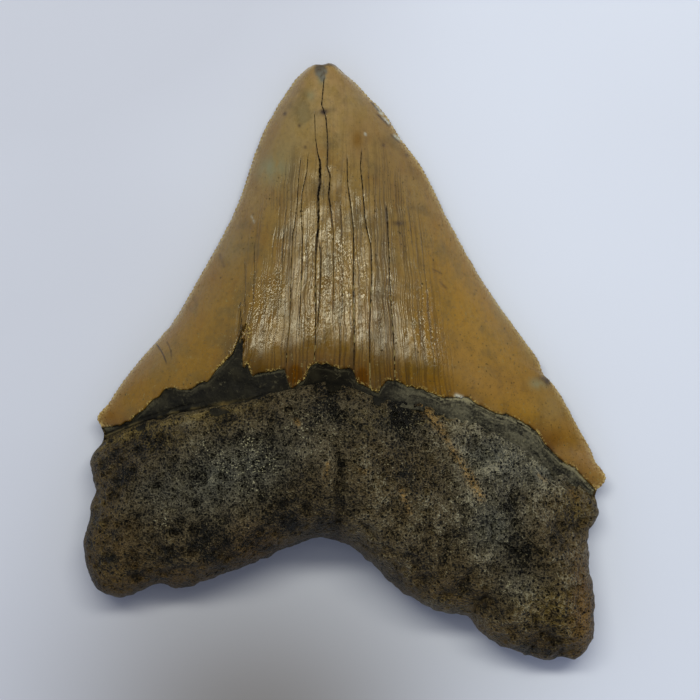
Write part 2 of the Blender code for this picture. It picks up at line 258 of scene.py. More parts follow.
# ------------------------------------------------------------------------------------------- the tooth's form

@dataclass(frozen=True)
class Outline:
    """The rim in plan: points on each stretch, left to right or from the root upwards, in millimetres."""

    basal_edge: Points = (
        (-49.9, -40.6), (-48.5, -43.5), (-46.2, -45.2), (-43.3, -45.9), (-38.4, -44.2), (-35.3, -43.2),
        (-34.5, -43.4), (-33.7, -44), (-31, -43.9), (-25.8, -42.2), (-16.4, -38.6), (-7.4, -34.8),
        (-4.2, -34.2), (-1.6, -34.8), (1.2, -36), (4.8, -39), (11.9, -45.4), (18.3, -48.6), (24.3, -49.9),
        (26.2, -52.5), (29.1, -54.7), (36.2, -57.3), (39, -58.2), (41.6, -57.5), (44.9, -57.7), (46.6, -56))
    left_root_side: Points = (
        (-49.9, -40.6), (-50.7, -36.5), (-50.4, -33.5), (-49.6, -31.2), (-49.5, -29.5), (-48.5, -24.4),
        (-48.7, -22.8), (-49.7, -20.3), (-48.8, -17.9), (-47.1, -15.6))
    right_root_side: Points = (
        (46.6, -56), (47.9, -54.3), (48.4, -50), (48.4, -45.6), (47.1, -37), (47.4, -33.1), (49, -30.4),
        (49.2, -28.4), (48.6, -26.5))
    left_crown_side: Points = (
        (-47.1, -15.6), (-46.9, -14.2), (-47.4, -13), (-48.3, -11.5), (-46, -8), (-43.4, -4), (-40.4, -0.2),
        (-33.7, 7.6), (-29.1, 15.4), (-20.1, 33.3), (-18.7, 37.8), (-15.6, 45.8), (-11.7, 52.4), (-9.4, 55.6),
        (-7.2, 57.4))
    right_crown_side: Points = (
        (48.6, -26.5), (48.9, -25.3), (50.3, -24.2), (50.9, -22.8), (50.2, -21.3), (48.9, -19.6),
        (48.1, -17.6), (45.4, -12.7), (42.1, -6.6), (39.8, -3.6), (39.3, -3.2), (37.8, 0.2), (35, 4.1),
        (27.1, 15.4), (20.5, 27.1), (14.4, 39), (11.2, 43.2), (9.1, 46.6), (6.5, 50), (5.1, 51.3), (2, 54.6),
        (-0.8, 56.7))
    worn_tip: Points = ((-7.2, 57.4), (-5.9, 58), (-4.3, 58), (-3, 58.3), (-1.8, 57.8), (-0.8, 56.7))

    def loop(self, places: int = 160) -> Array:
        """Many points on the rim, round the tooth and back to the first."""
        fractions = np.linspace(0.0, 1.0, places)
        forwards = [smooth_curve(line, fractions) for line in (
            self.basal_edge, self.right_root_side, self.right_crown_side)]
        backwards = [smooth_curve(line, fractions[::-1]) for line in (
            self.worn_tip, self.left_crown_side, self.left_root_side)]
        return np.concatenate(forwards + backwards)

    def gap(self, plan: Array) -> Array:
        """How far each plan point lies from the rim, in millimetres."""
        return nearest(plan, self.loop())


@dataclass(frozen=True)
class Thickness:
    """Heights of the two faces over the floor, as formulas of side, band and gap, in millimetres.

    `side` is -1 on the left rim, 0 on the middle line and 1 on the right rim. `band` is 0 on the basal
    edge, 1 where the crown starts and 2 at the tip. `crown_rise` holds the factors of the powers 0, 1 and 2
    of band - 1 in the crown's height over its rim.
    """

    rim_height: Points = ((0, 6), (0.8, 6), (1.1, 4.4), (2, 1.9))
    softening: float = 0.16
    crown_rise: tuple[float, float, float] = (13.3, -1.5, -9.0)
    crown_power: float = 2.3
    crown_belly: Points = ((1, 3.4), (1.5, 2.3), (2, 1.3))
    lobe_rise: float = 9.0
    boss_rise: float = 9.0
    boss_width: float = 0.55
    root_rounding: float = 10.0
    crown_rounding: float = 0.9
    labial_rounding: float = 4.5
    root_floor: float = 5.6
    root_hollow: float = 1.6
    hollow_width: float = 0.3
    hollow_rounding: float = 13.5
    bourlette_dip: float = 1.0
    bourlette_middle: float = 0.97
    bourlette_half: float = 0.06
    rests: Points = ((-36, -31), (35, -42), (-3.5, 36))
    rest_depth: float = 1.1
    rest_spread: float = 6.5

    def rim(self, band: Array) -> Array:
        """Height of the line where the two faces meet, with its bends softened by a mean of five places."""
        return np.mean([line_at(self.rim_height, band + shift)
                        for shift in np.linspace(-self.softening, self.softening, 5)], axis=0)

    def lingual(self, side: Array, band: Array, gap: Array) -> Array:
        """Height of the smooth upper face, without the enamel's own thickness or the root's relief."""
        crown_share = rise(0.45, 1.06, band)
        crown = np.polynomial.polynomial.polyval(band - 1.0, self.crown_rise)
        crown = crown * (1.0 - np.abs(side) ** self.crown_power)
        root = self.lobe_rise + self.boss_rise * bell(side, 0.0, self.boss_width)
        up = crown_share * crown + (1.0 - crown_share) * root
        radius = self.root_rounding + (self.crown_rounding - self.root_rounding) * rise(0.7, 1.1, band)
        dip = self.bourlette_dip * bell(band, self.bourlette_middle, self.bourlette_half) * inside(gap)
        return self.rim(band) + up * rounded(gap, radius) - dip

    def labial(self, side: Array, band: Array, gap: Array, plan: Array, relief: Array | float) -> Array:
        """Height of the lower face: a low belly under the crown, a shallow hollow and three worn flats."""
        crown_share = rise(0.8, 1.1, band)
        crown = line_at(self.crown_belly, band) * (1.0 - side**2) * rounded(gap, self.crown_rounding)
        hollow = self.root_hollow * bell(side, 0.0, self.hollow_width) * rounded(gap, self.hollow_rounding)
        root = self.root_floor * rounded(gap, self.labial_rounding) - hollow
        drop = crown_share * crown + (1.0 - crown_share) * root + relief
        for x, y in self.rests:
            away = np.hypot(plan[..., 0] - x, plan[..., 1] - y)
            drop = drop + self.rest_depth * bell(away, 0.0, self.rest_spread * math.sqrt(2.0))
        return np.maximum(self.rim(band) - drop, 0.0)


def over(line: Points) -> Border:
    """A border given as heights over x, whose x runs evenly from each end to the middle line's x."""
    knots = np.array(line, float)

    def border(across: Array) -> Array:
        """Plan points of the border at the fractions across."""
        x = np.interp(across, (0.0, MIDDLE, 1.0), (knots[0, 0], MIDDLE_X, knots[-1, 0]))
        return np.stack((x, np.interp(x, knots[:, 0], knots[:, 1])), axis=-1)

    return border


def along(line: Points, middle: float) -> Border:
    """A border that is a smooth curve, with the middle line at the fraction given of its length."""
    return lambda across: smooth_curve(line, np.interp(across, (0.0, MIDDLE, 1.0), (0.0, middle, 1.0)))


@dataclass(frozen=True)
class Web:
    """A surface in plan between four borders and a middle line.

    A row runs straight from the left side to the middle line and on to the right side, both without their
    short bends. What the bends add fades out inwards from the rims. The row is then moved by what the rows
    miss the lower and upper borders by, fading out away from each of them.
    """

    left: Points
    middle: Points
    right: Points
    lower: Border
    upper: Border
    left_start: float = 0.0
    right_start: float = 0.0
    softening: float = 0.08
    bends_fade: int = 14
    lower_fade: int = 2
    upper_fade: int = 6

    def without_bends(self, line: Points, along_it: Array) -> Array:
        """Means of five places on a curve, whose spread shrinks to nothing at both of its ends."""
        spread = np.minimum(self.softening, np.minimum(along_it, 1.0 - along_it).clip(0.0))
        return np.mean([smooth_curve(line, along_it + shift * spread)
                        for shift in np.linspace(-1.0, 1.0, 5)], axis=0)

    def at(self, across: Array, up: Array) -> Array:
        """Plan points for arrays of across and up, which have one shape."""
        left_share = np.clip(1.0 - across / MIDDLE, 0.0, 1.0)
        right_share = np.clip((across - MIDDLE) / (1.0 - MIDDLE), 0.0, 1.0)

        def row(heights: Array) -> Array:
            """Points on the straight rows at the heights given."""
            total = (1.0 - left_share - right_share)[..., None] * smooth_curve(self.middle, heights)
            for line, start, share in ((self.left, self.left_start, left_share[..., None]),
                                       (self.right, self.right_start, right_share[..., None])):
                place = start + heights * (1.0 - start)
                own, plain = smooth_curve(line, place), self.without_bends(line, place)
                total = total + share * plain + share**self.bends_fade * (own - plain)
            return total

        low = self.lower(across) - row(np.zeros_like(across))
        high = self.upper(across) - row(np.ones_like(across))
        fade = up[..., None]
        return row(up) + low * (1.0 - fade) ** self.lower_fade + high * fade.clip(0.0) ** self.upper_fade


@dataclass(frozen=True)
class Crack:
    """One lengthwise crack in the enamel, from its lower end up, in millimetres.

    `swelling` gives how many times its half width it has at some heights.
    """

    path: Points
    half_width: float = 0.14
    depth: float = 0.3
    strength: float = 1.0
    swelling: Points = ((0.0, 1.0),)


ROOT_TOP: Points = (
    (-47.1, -15.6), (-39.9, -12.6), (-31.2, -10.2), (-27.1, -9.5), (-22.8, -8.7), (-17.6, -7.7),
    (-13.8, -6.3), (-8.6, -5), (-6.4, -4.4), (-3.6, -4.1), (-0.8, -4.3), (2.3, -5.5), (6.3, -7.2),
    (10.7, -7.6), (15.8, -8.6), (25.1, -11.9), (31, -15.2), (37.1, -18.6), (42.9, -22.4), (48.6, -26.5))
ENAMEL_EDGE: Points = (
    (-47.4, -13), (-43.8, -12.6), (-41.3, -11.5), (-38.7, -9.2), (-36.3, -7.4), (-34.6, -5.5), (-33, -5.1),
    (-31.5, -5.5), (-29.4, -5.6), (-27.9, -4.4), (-26.1, -3.8), (-24.4, -1.8), (-22.4, 0.2), (-21.1, 1.7),
    (-20.3, 4), (-19.7, 5.5), (-19.25, 7.2), (-18.9, 4.9), (-18.75, 2.7), (-18.6, 0.8), (-18.5, -0.3),
    (-18.2, -1.7), (-17.4, -2.8), (-16.2, -2.5), (-14.5, -2), (-12.9, -1.8), (-11.4, -1.5), (-11.1, -2.9),
    (-10.5, -4.8), (-10, -5.1), (-8.9, -4.7), (-7.7, -3.8), (-7.2, -2.4), (-6.7, -1.1), (-5.9, -0.7),
    (-5.3, -0.4), (-3.4, -0.6), (-2.2, -0.9), (-1.2, -1.6), (0.2, -1.5), (1.5, -1.8), (1.9, -2.7), (2.3, -4),
    (3.4, -4.6), (4.6, -5), (5.3, -5.7), (6.4, -6), (7.1, -4.9), (7.7, -4), (8.5, -3.6), (9.5, -3.7),
    (10.7, -4.3), (11.8, -4.9), (14.6, -5.4), (15.9, -5.9), (18.3, -7), (21.1, -7), (22.6, -6.8),
    (25.1, -8.2), (28.3, -9.8), (31.4, -10.4), (34.1, -11.8), (37.1, -13.8), (38.2, -15.8), (41.3, -18.9),
    (44.1, -20.6), (47, -23.4), (48.9, -25.3))
LABIAL_EDGE: Points = (
    (-47.1, -14.6), (-32, -14.4), (-12, -11.8), (6, -12.6), (26, -17.6), (48.6, -26))
MIDDLE_CRACK: Points = (
    (-5.8, -4.3), (-5.8, -0.1), (-5.6, 2.7), (-5.5, 8.8), (-5.6, 13.7), (-5.5, 21.3), (-5.3, 23.6),
    (-5.1, 25.4), (-5.1, 32.1), (-4.8, 34), (-4.8, 38.3), (-5.2, 39.7), (-5.7, 43), (-5.9, 48.5), (-5.4, 53),
    (-4.4, 58))
CREASE: Points = ((-2.2, -34.7), (-0.7, -27), (-0.9, -19), (-5.7, -4.4))

CRACKS: tuple[Crack, ...] = (
    Crack(((-19.3, 6.9), (-19.2, 8.5), (-19.1, 11.9), (-19.1, 16), (-19.2, 19.6)), 0.13, 0.2),
    Crack(((-17.4, 11.3), (-17.3, 17), (-17.4, 22.8)), 0.1, 0.05, 0.7),
    Crack(((-12.2, 9.9), (-12, 15), (-11.7, 25.5), (-11, 30.4)), 0.08, 0.05, 0.6),
    Crack(((-11.1, -1.2), (-10.9, 3), (-10.5, 6.6), (-10.3, 12), (-10.2, 18), (-10, 24), (-9.7, 25.4),
          (-9.1, 30.2), (-8.9, 34.9), (-8.4, 39.7)), 0.11, 0.1, 0.8),
    Crack(((-8.7, 4.7), (-8.5, 10), (-8.2, 16), (-8.1, 23.6), (-8.4, 28.3), (-8.2, 32.1), (-7.3, 36.4),
          (-7, 40.6)), 0.13, 0.1, 0.85),
    Crack(MIDDLE_CRACK[1:-2], 0.11, 0.3, 1, ((2, 1.4), (20, 1.4), (22.5, 3), (37.5, 3), (40, 1))),
    Crack(((-5.1, 6.6), (-4.9, 9.9), (-4.6, 14.6), (-4.6, 20.3), (-4.9, 22.8)), 0.15, 0.2),
    Crack(((-2.2, 9.9), (-2.2, 19.7), (-2.2, 24.5), (-2.6, 28.3), (-3.1, 31.5), (-2.8, 35.4), (-3.4, 37.2),
          (-3.3, 41.3), (-3.4, 43.7), (-3.7, 47.2), (-4.5, 49.5), (-4.3, 51.9), (-4, 55.4)), 0.1, 0.2, 1,
          ((26, 0.9), (31, 2), (50, 2), (54, 1.4))),
    Crack(((-1, -2), (-0.9, 5.6), (-0.4, 11.3), (-0.3, 18.3), (-0.6, 25.5), (-0.9, 31)), 0.09, 0.05, 0.6),
    Crack(((1.7, -1.6), (1.8, 5), (1.6, 12), (1.7, 19), (1.6, 25.5), (1.3, 28.3), (0.5, 34), (0.4, 39.8)),
          0.15, 0.15),
    Crack(((4.8, -5.4), (4.7, 0), (4.7, 6.6), (4.9, 12), (5.1, 16), (5.1, 20.5), (4.9, 22.3), (4.1, 25.4),
          (3.8, 27.9), (3.4, 33), (3, 37.3), (3.2, 41)), 0.14, 0.15),
    Crack(((5.9, 18), (5.8, 23), (5.7, 30), (5.4, 36.4)), 0.07, 0.05, 0.6),
    Crack(((9.5, -3.8), (9.4, 1), (9.2, 4.2), (8.8, 10.3), (8.5, 17), (8.4, 20.7), (8, 30.2)), 0.14, 0.15,
          0.95),
)


@dataclass(frozen=True)
class ToothForm:
    """The webs, the ragged edges and the thickness that all three pieces are cut from."""

    outline: Outline = field(default_factory=Outline)
    thickness: Thickness = field(default_factory=Thickness)
    root_middle: float = 0.435
    tip_middle: float = 0.47
    tuck: Points = ((-0.3, 2.6), (0.0, 2.8), (0.3, 1.2))
    band_at_root_top: float = 0.965
    band_for_each_mm: float = 0.008
    enamel_start: float = 0.07
    ragged: float = 0.4
    edge_steps: int = 14
    edge_step: float = 0.004

    def crown_web(self) -> Web:
        """From the line where the root ends up to the worn tip."""
        return Web(self.outline.left_crown_side, MIDDLE_CRACK, self.outline.right_crown_side,
                   over(ROOT_TOP), along(self.outline.worn_tip, self.tip_middle))

    def labial_crown_web(self, left_start: float, right_start: float) -> Web:
        """From the labial edge of the enamel up to the worn tip, on the same rims as the crown's web."""
        upper = self.crown_web()
        corners = upper.at(np.array([0.0, 1.0]), np.array([left_start, right_start]))
        line = (tuple(corners[0]), *LABIAL_EDGE[1:-1], tuple(corners[1]))
        middle = (self.labial_middle(line), *MIDDLE_CRACK[5:])
        return Web(upper.left, middle, upper.right, over(line), upper.upper, left_start, right_start)

    @staticmethod
    def labial_middle(line: Points) -> tuple[float, float]:
        """Where the middle line meets the labial edge of the enamel."""
        return MIDDLE_CRACK[0][0], float(line_at(line, MIDDLE_CRACK[0][0]))

    def root_web(self, labial: bool) -> Web:
        """From the basal edge to a line a little way under the bourlette, or to the labial edge."""
        left = (*self.outline.left_root_side, *self.outline.left_crown_side[1:3])
        right = (*self.outline.right_root_side, *self.outline.right_crown_side[1:2])
        basal = along(self.outline.basal_edge, self.root_middle)
        if labial:
            line = (left[-1], *LABIAL_EDGE[1:-1], right[-1])
            return Web(left, (*CREASE[:-2], self.labial_middle(line)), right, basal, over(line))
        moves, top = np.array(self.tuck), over(ROOT_TOP)

        def tucked(across: Array) -> Array:
            """The line where the root ends, moved up under the bourlette."""
            move = [np.interp(across, (0.0, MIDDLE, 1.0), moves[:, axis]) for axis in (0, 1)]
            return top(across) + np.stack(move, axis=-1)

        middle = (*CREASE, (CREASE[-1][0] + moves[1, 0], CREASE[-1][1] + moves[1, 1]))
        return Web(left, middle, right, basal, tucked)

    def crown_band(self, up: Array) -> Array:
        """The band coordinate on the crown's web."""
        return np.interp(up, (-0.1, 0.0, self.enamel_start, 1.0),
                         (self.band_at_root_top - 0.05, self.band_at_root_top, 1.0, 2.0))

    @staticmethod
    def above_root(plan: Array) -> Array:
        """How far in millimetres a point lies above the slightly uneven line where the root ends."""
        x, y = plan[..., 0], plan[..., 1]
        return y - line_at(ROOT_TOP, x) - 0.35 * layered_over(x, 2.6, 41.0, 3)

    def enamel_edge(self, across: Array) -> Array:
        """How far up the crown's web the ragged edge of the enamel lies, found by Newton's steps."""
        web = self.crown_web()
        up = np.full_like(across, self.enamel_start)
        for _ in range(self.edge_steps):
            here, further = web.at(across, up), web.at(across, up + self.edge_step)
            x = here[..., 0]
            ends = rise(-47.4, -44.0, x) * (1.0 - rise(45.0, 48.9, x))
            uneven = self.ragged * ends * layered_over(x, 1.9, 17.0, 4)
            missing = line_at(ENAMEL_EDGE, x) + uneven - here[..., 1]
            up = up + STEP_SHARE * missing * self.edge_step / (further[..., 1] - here[..., 1])
        return np.clip(up, 0.0, None)


def placed(name: str, data: bpy.types.ID) -> bpy.types.Object:
    """Makes an object in the scene."""
    made = bpy.data.objects.new(name, data)
    bpy.context.scene.collection.objects.link(made)
    return made


@dataclass
class Shell:
    """Blocks of points in millimetres, and the triangles between them, gathered into one closed mesh."""

    points: list[Array] = field(default_factory=list)
    marks: list[tuple[int, dict[str, Array]]] = field(default_factory=list)
    faces: list[Array] = field(default_factory=list)
    count: int = 0
    weld: float = 1e-4

    def add(self, points: Array, **marks: Array) -> Array:
        """Adds a block of points.

        Args:
            points: Places, in an array of any shape with three numbers last.
            marks: Named values of the same shape, which become mesh attributes.

        Returns:
            The index of each point, in the block's shape.
        """
        shape = points.shape[:-1]
        index = self.count + np.arange(math.prod(shape)).reshape(shape)
        self.marks.append((self.count, {name: np.broadcast_to(mark, shape) for name, mark in marks.items()}))
        self.points.append(points.reshape(-1, 3))
        self.count += index.size
        return index

    def quads(self, index: Array) -> None:
        """Two triangles for each cell of a block, the cells in its corners cut through the corner."""
        a, b, c, d = index[:-1, :-1], index[:-1, 1:], index[1:, 1:], index[1:, :-1]
        low = np.arange(a.shape[0])[:, None] < a.shape[0] / 2
        left = np.arange(a.shape[1])[None, :] < a.shape[1] / 2
        rising = (low == left)[..., None]
        one = np.where(rising, np.stack((a, b, c), axis=-1), np.stack((a, b, d), axis=-1))
        two = np.where(rising, np.stack((a, c, d), axis=-1), np.stack((b, c, d), axis=-1))
        self.faces += [one.reshape(-1, 3), two.reshape(-1, 3)]

    def fan(self, fine: Array, coarse: Array, turned: bool) -> None:
        """Triangles between a line of many points and a line of few beside it.

        Args:
            fine: Indices of the line with more points, on the left unless turned.
            coarse: Indices of the other line; its cells each span the same number of fine ones.
            turned: Whether the coarse line is on the left.
        """
        each = (len(fine) - 1) // (len(coarse) - 1)
        cells = np.arange(len(coarse) - 1)
        start = cells * each
        made = [np.stack((fine[start + k], coarse[cells + (k >= each // 2)], fine[start + k + 1]), axis=-1)
                for k in range(each)]
        made.append(np.stack((coarse[cells], coarse[cells + 1], fine[start + each // 2]), axis=-1))
        together = np.concatenate(made)
        self.faces.append(together[:, ::-1] if turned else together)

    def bridge(self, first: Array, second: Array, rows: int) -> None:
        """Closes the gap between two lines of points.

        Args:
            first: Indices of one line.
            second: Indices of the other line, which has as many points.
            rows: How many rows of cells to make between them.
        """
        points = np.concatenate(self.points)
        share = np.linspace(0.0, 1.0, rows + 1)[1:-1, None, None]
        between = self.add(points[first] * (1.0 - share) + points[second] * share)
        self.quads(np.concatenate((first[None], between, second[None])))

    def build(self, name: str, move: Array) -> bpy.types.Object:
        """Welds points at one place, drops empty triangles and makes the mesh object.

        Args:
            name: The object's name.
            move: A shift in millimetres for every point.

        Returns:
            The new object, smooth shaded, at the origin.
        """
        points = np.concatenate(self.points) + move
        keys = np.round(points / self.weld).astype(np.int64)
        _, first, welded = np.unique(keys, axis=0, return_index=True, return_inverse=True)
        faces = welded.reshape(-1)[np.concatenate(self.faces)]
        faces = faces[(faces != np.roll(faces, 1, axis=1)).all(axis=1)]
        mesh = bpy.data.meshes.new(name)
        mesh.vertices.add(len(first))
        mesh.vertices.foreach_set("co", (points[first] * MM).astype(np.float32).ravel())
        mesh.loops.add(faces.size)
        mesh.loops.foreach_set("vertex_index", faces.astype(np.int32).ravel())
        mesh.polygons.add(len(faces))
        mesh.polygons.foreach_set("loop_start", np.arange(0, faces.size, 3, dtype=np.int32))
        mesh.update(calc_edges=True)
        for mark in sorted({key for _, block in self.marks for key in block}):
            values = np.zeros(self.count)
            for start, block in self.marks:
                if mark in block:
                    values[start:start + block[mark].size] = block[mark].ravel()
            layer = mesh.attributes.new(mark, "FLOAT", "POINT")
            layer.data.foreach_set("value", values[first].astype(np.float32))
        mesh.shade_smooth()
        LOG.info("%s: %d triangles", name, len(faces))
        return placed(name, mesh)


def raised(plan: Array, height: Array) -> Array:
    """Plan points with their heights as a third coordinate."""
    return np.concatenate((plan, height[..., None]), axis=-1)


def spaced(stations: Array, cells: Sequence[int]) -> Array:
    """Columns between stations, with the number of cells given from each station to the next.

    Args:
        stations: Station places for each row, in an array of rows by stations.
        cells: How many cells to make in each gap.

    Returns:
        Places for each row, rows by columns.
    """
    marks = np.concatenate(([0], np.cumsum(cells)))
    want = np.arange(marks[-1] + 1)
    first = np.clip(np.searchsorted(marks, want, side="right") - 1, 0, len(cells) - 1)
    share = (want - marks[first]) / np.array(cells)[first]
    return stations[:, first] * (1.0 - share) + stations[:, first + 1] * share


@dataclass(frozen=True)
class Serration:
    """Rounded teeth along a cutting edge, drawn inwards between them."""

    pitch: float = 0.82
    depth: float = 0.34
    reach: float = 1.25

    def drawn_in(self, run: Array, away: Array, seed: float) -> Array:
        """How far a point moves inwards: most in the notches on the edge, nothing beyond the reach.

        Args:
            run: How far along the edge the point is, in millimetres.
            away: How far from the edge it is.
            seed: Picks where the edge is more worn.

        Returns:
            The move for each point, in millimetres.
        """
        uneven = run + 0.25 * ripple(run / 3.0, run * 0.0, seed)
        turn = 2.0 * fractional(uneven / self.pitch) - 1.0
        notch = 1.0 - np.sqrt(np.clip(1.0 - turn**2, 0.0, 1.0))
        worn = 0.75 + 0.35 * ripple(run / 6.0, run * 0.0, seed + 3.0)
        nibble = 0.12 * (1.0 + layered_over(run, 2.2, seed + 9.0, 2))
        fade = np.clip(1.0 - away / self.reach, 0.0, 1.0) ** 2
        return fade * (self.depth * worn * notch + nibble)


@dataclass(frozen=True)
class EnamelCrown:
    """The enamel: a domed lingual face with open cracks, serrated cutting edges and a flat labial face.

    The lingual face has `rows` rows from the ragged lower edge to the tip. Beside each cutting edge a strip
    of columns, whose places in from the rim are `strip`, has `finer` times as many rows, for the serrations.
    The labial face shares the rims. Lengths are in millimetres, and fractions run up or across the web.
    """

    rows: int = 200
    finer: int = 4
    spacing: float = 0.42
    strip: tuple[float, ...] = (0.0, 0.2, 0.48, 0.85, 1.3)
    strip_limit: float = 0.3
    first_rows: tuple[float, ...] = (0.0, 0.0, 0.0012, 0.003, 0.0055, 0.009, 0.0135)
    thickness: float = 0.7
    lip: float = 0.4
    wall: float = 0.9
    edge_places: int = 4001
    edge_smoothing: int = 130
    edge_corner: float = 0.05
    edge_fade: float = 0.13
    edge_highest: float = 16.0
    labial_lip: float = 0.4
    closing_rows: int = 6
    crack_share: float = 0.012
    crack_steps: int = 8
    search_middle: float = -5.6
    search_width: float = 100.0
    least_gap: float = 0.0005
    lowest_rows: float = 0.04
    lingual_only: tuple[str, ...] = ("lingual", "gloss", "grey", "amber", "brown", "chip")
    serration: Serration = field(default_factory=Serration)

    def build(self, form: ToothForm, move: Array) -> bpy.types.Object:
        """Makes the crown's mesh object."""
        web, shell = form.crown_web(), Shell()
        dense = np.linspace(0.0, 1.0, self.edge_places)
        edge = form.enamel_edge(dense)
        smooth_edge = windows(edge, self.edge_smoothing).mean(axis=-1)
        for end, away in ((0, dense), (-1, 1.0 - dense)):
            fade = np.clip(1.0 - away / self.edge_corner, 0.0, 1.0) ** 2
            smooth_edge = smooth_edge + (edge[end] - smooth_edge[end]) * fade
        coarse = np.concatenate((self.first_rows, np.linspace(
            self.first_rows[-1], 1.0, self.rows + 2 - len(self.first_rows))[1:]))
        fine = np.interp(np.arange(self.rows * self.finer + 1) / self.finer, np.arange(self.rows + 1), coarse)

        def upwards(first: Array, fractions: Array) -> Array:
            """How far up the web the rows lie over columns that start at `first` across."""
            own, smooth = np.interp(first, dense, edge), np.interp(first, dense, smooth_edge)
            rest = fractions[:, None]
            return rest + smooth * (1.0 - rest) + (own - smooth) * np.exp(-rest / self.edge_fade)

        stations, strengths, cells = self.stations(web, coarse, upwards)
        across = spaced(stations, cells)
        starts = np.concatenate(([0], np.cumsum(cells)))
        crack, depth = np.zeros_like(across), np.zeros_like(across)
        for station, (own, crack_depth) in strengths.items():
            crack[:, starts[station]] = own
            depth[:, starts[station]] = own * crack_depth
        line = web.at(dense[::3], edge[::3])
        main = self.lingual(form, shell, web, line, across, upwards(across[0], coarse), crack, depth)
        sides = tuple(zip(self.strip_columns(web, fine), (0, -1)))
        strips = [self.lingual(form, shell, web, line, columns, upwards(columns[0], fine), rim=rim)
                  for columns, rim in sides]

        labial = form.labial_crown_web(float(edge[0]), float(edge[-1]))
        low_rows = fine[::2 * self.finer]
        first, last = (np.interp(low_rows, coarse, stations[:, end])[:, None] for end in (0, -1))
        even = first + (last - first) * np.linspace(0.0, 1.0, across.shape[1])
        level = rise(0.55, 1.0, low_rows)[:, None]
        low_main = self.labial(form, shell, labial, even * (1.0 - level) + across[-1] * level, low_rows, main)
        low_strips = [self.labial(form, shell, labial, columns, fine, strip, rim)
                      for (columns, rim), strip in zip(sides, strips)]

        for upper, lower in zip((main, *strips), (low_main, *low_strips)):
            shell.quads(upper)
            shell.quads(lower[::-1])
        for inner, outer, turned in ((-1, 0, False), (0, -1, True)):
            shell.fan(strips[outer][:, inner], main[:, outer], turned)
            shell.fan(low_strips[outer][:, inner], low_main[:, outer], not turned)
        low, high = (np.concatenate([part[0] for part in (parts[0], middle, parts[1])])
                     for parts, middle in ((low_strips, low_main), (strips, main)))
        shell.bridge(low, high, self.closing_rows)
        return shell.build("enamel_crown", move)

    @staticmethod
    def widths(web: Web, rows: Array) -> tuple[Array, Array]:
        """How far in x each row runs from the left side to the middle line, and on to the right side."""
        left, middle, right = (smooth_curve(line, rows)[:, 0] for line in (web.left, web.middle, web.right))
        return middle - left, right - middle

    def strip_columns(self, web: Web, rows: Array) -> tuple[Array, Array]:
        """Places across of the strips' columns on the left and on the right, for each row."""
        made = []
        for width, share in zip(self.widths(web, np.clip(rows, 0.0, 1.0)), (MIDDLE, 1.0 - MIDDLE)):
            reach = np.minimum(self.strip[-1], self.strip_limit * width) / self.strip[-1]
            made.append(reach[:, None] * np.array(self.strip[:-1]) / width[:, None] * share)
        return made[0], 1.0 - made[1][:, ::-1]

    def stations(self, web: Web, rows: Array, upwards: Callable[[Array, Array], Array]
                 ) -> tuple[Array, dict[int, tuple[Array, float]], list[int]]:
        """Columns that follow the cracks, and how many cells lie between them.

        Each crack has a column on its line and one on each lip. Its place across is found by a few steps
        towards the crack's own line, and is held above and below the crack's ends.

        Args:
            web: The crown's web.
            rows: Fractions up the crown.
            upwards: Gives the place up the web for columns' first places and the rows.

        Returns:
            Stations for each row; for each crack's own station, its strength in each row and its depth;
            the cells between stations.
        """
        widths = self.widths(web, rows)
        total = widths[0] + widths[1]
        first, last = (share * np.minimum(self.strip[-1], self.strip_limit * width) / width
                       for width, share in zip(widths, (MIDDLE, 1.0 - MIDDLE)))
        last = 1.0 - last
        held = np.arange(len(rows))
        columns, strengths = [first], {}

        def slope(place: Array) -> Array:
            """Millimetres of x for each unit across, on the side of the middle line that a place is on."""
            return np.where(place < MIDDLE, widths[0] / MIDDLE, widths[1] / (1.0 - MIDDLE))

        def plan_of(place: Array) -> Array:
            """Plan points of the column at the places across."""
            return web.at(place[:, None], upwards(place[:1], rows))[:, 0]

        for crack in CRACKS:
            path = np.array(crack.path)
            start = MIDDLE + (float(np.mean(path[:, 0])) - self.search_middle) / self.search_width
            place = np.full(len(rows), start)
            for _ in range(self.crack_steps):
                plan = plan_of(place)
                inside_crack = (plan[:, 1] <= path[-1, 1]) | (rows < self.lowest_rows)
                wanted = np.interp(plan[:, 1], path[:, 1], path[:, 0])
                place = place + STEP_SHARE * (wanted - plan[:, 0]) / slope(place)
                place = np.interp(held, held[inside_crack], place[inside_crack])
            y = plan_of(place)[:, 1]
            strength = rise(path[0, 1] - 0.6, path[0, 1] + 0.9, y)
            strength = strength * (1.0 - rise(path[-1, 1] - 1.5, path[-1, 1] + 0.3, y))
            half = np.minimum(crack.half_width, self.crack_share * total) * (0.5 + 0.5 * strength)
            half = half * line_at(crack.swelling, y) / slope(place)
            strengths[len(columns) + 1] = (strength * crack.strength, crack.depth)
            columns += [place - half, place, place + half]
        made = np.stack((*columns, last), axis=1)
        count = np.arange(made.shape[1])
        spread = self.least_gap * count
        made[:, :-1] = np.maximum.accumulate(made[:, :-1] - spread[:-1], axis=1) + spread[:-1]
        made = np.minimum(made, last[:, None] - self.least_gap * (count[-1] - count))
        wide = np.max(np.diff(made, axis=1) * total[:, None], axis=0)
        cells = [1 if k + 1 in strengths or k in strengths else max(1, round(w / self.spacing))
                 for k, w in enumerate(wide)]
        return made, strengths, cells

    def surface(self, form: ToothForm, plan: Array, across: Array, up: Array, gap: Array,
                lip_gap: Array) -> Array:
        """Height of the enamel's outer face over the plan points."""
        band = form.crown_band(up)
        stands = self.thickness * (1.0 - rise(1.0, 1.5, band)) * rounded(lip_gap, self.lip)
        waves = 0.16 * layered(plan / [1.0, 2.2], 11.0, 23.0, 2) + 0.02 * ripple(
            plan[..., 0] / 0.9, plan[..., 1] / 9.0, 29.0)
        return form.thickness.lingual(side_of(across), band, gap) + (stands + waves) * inside(gap)

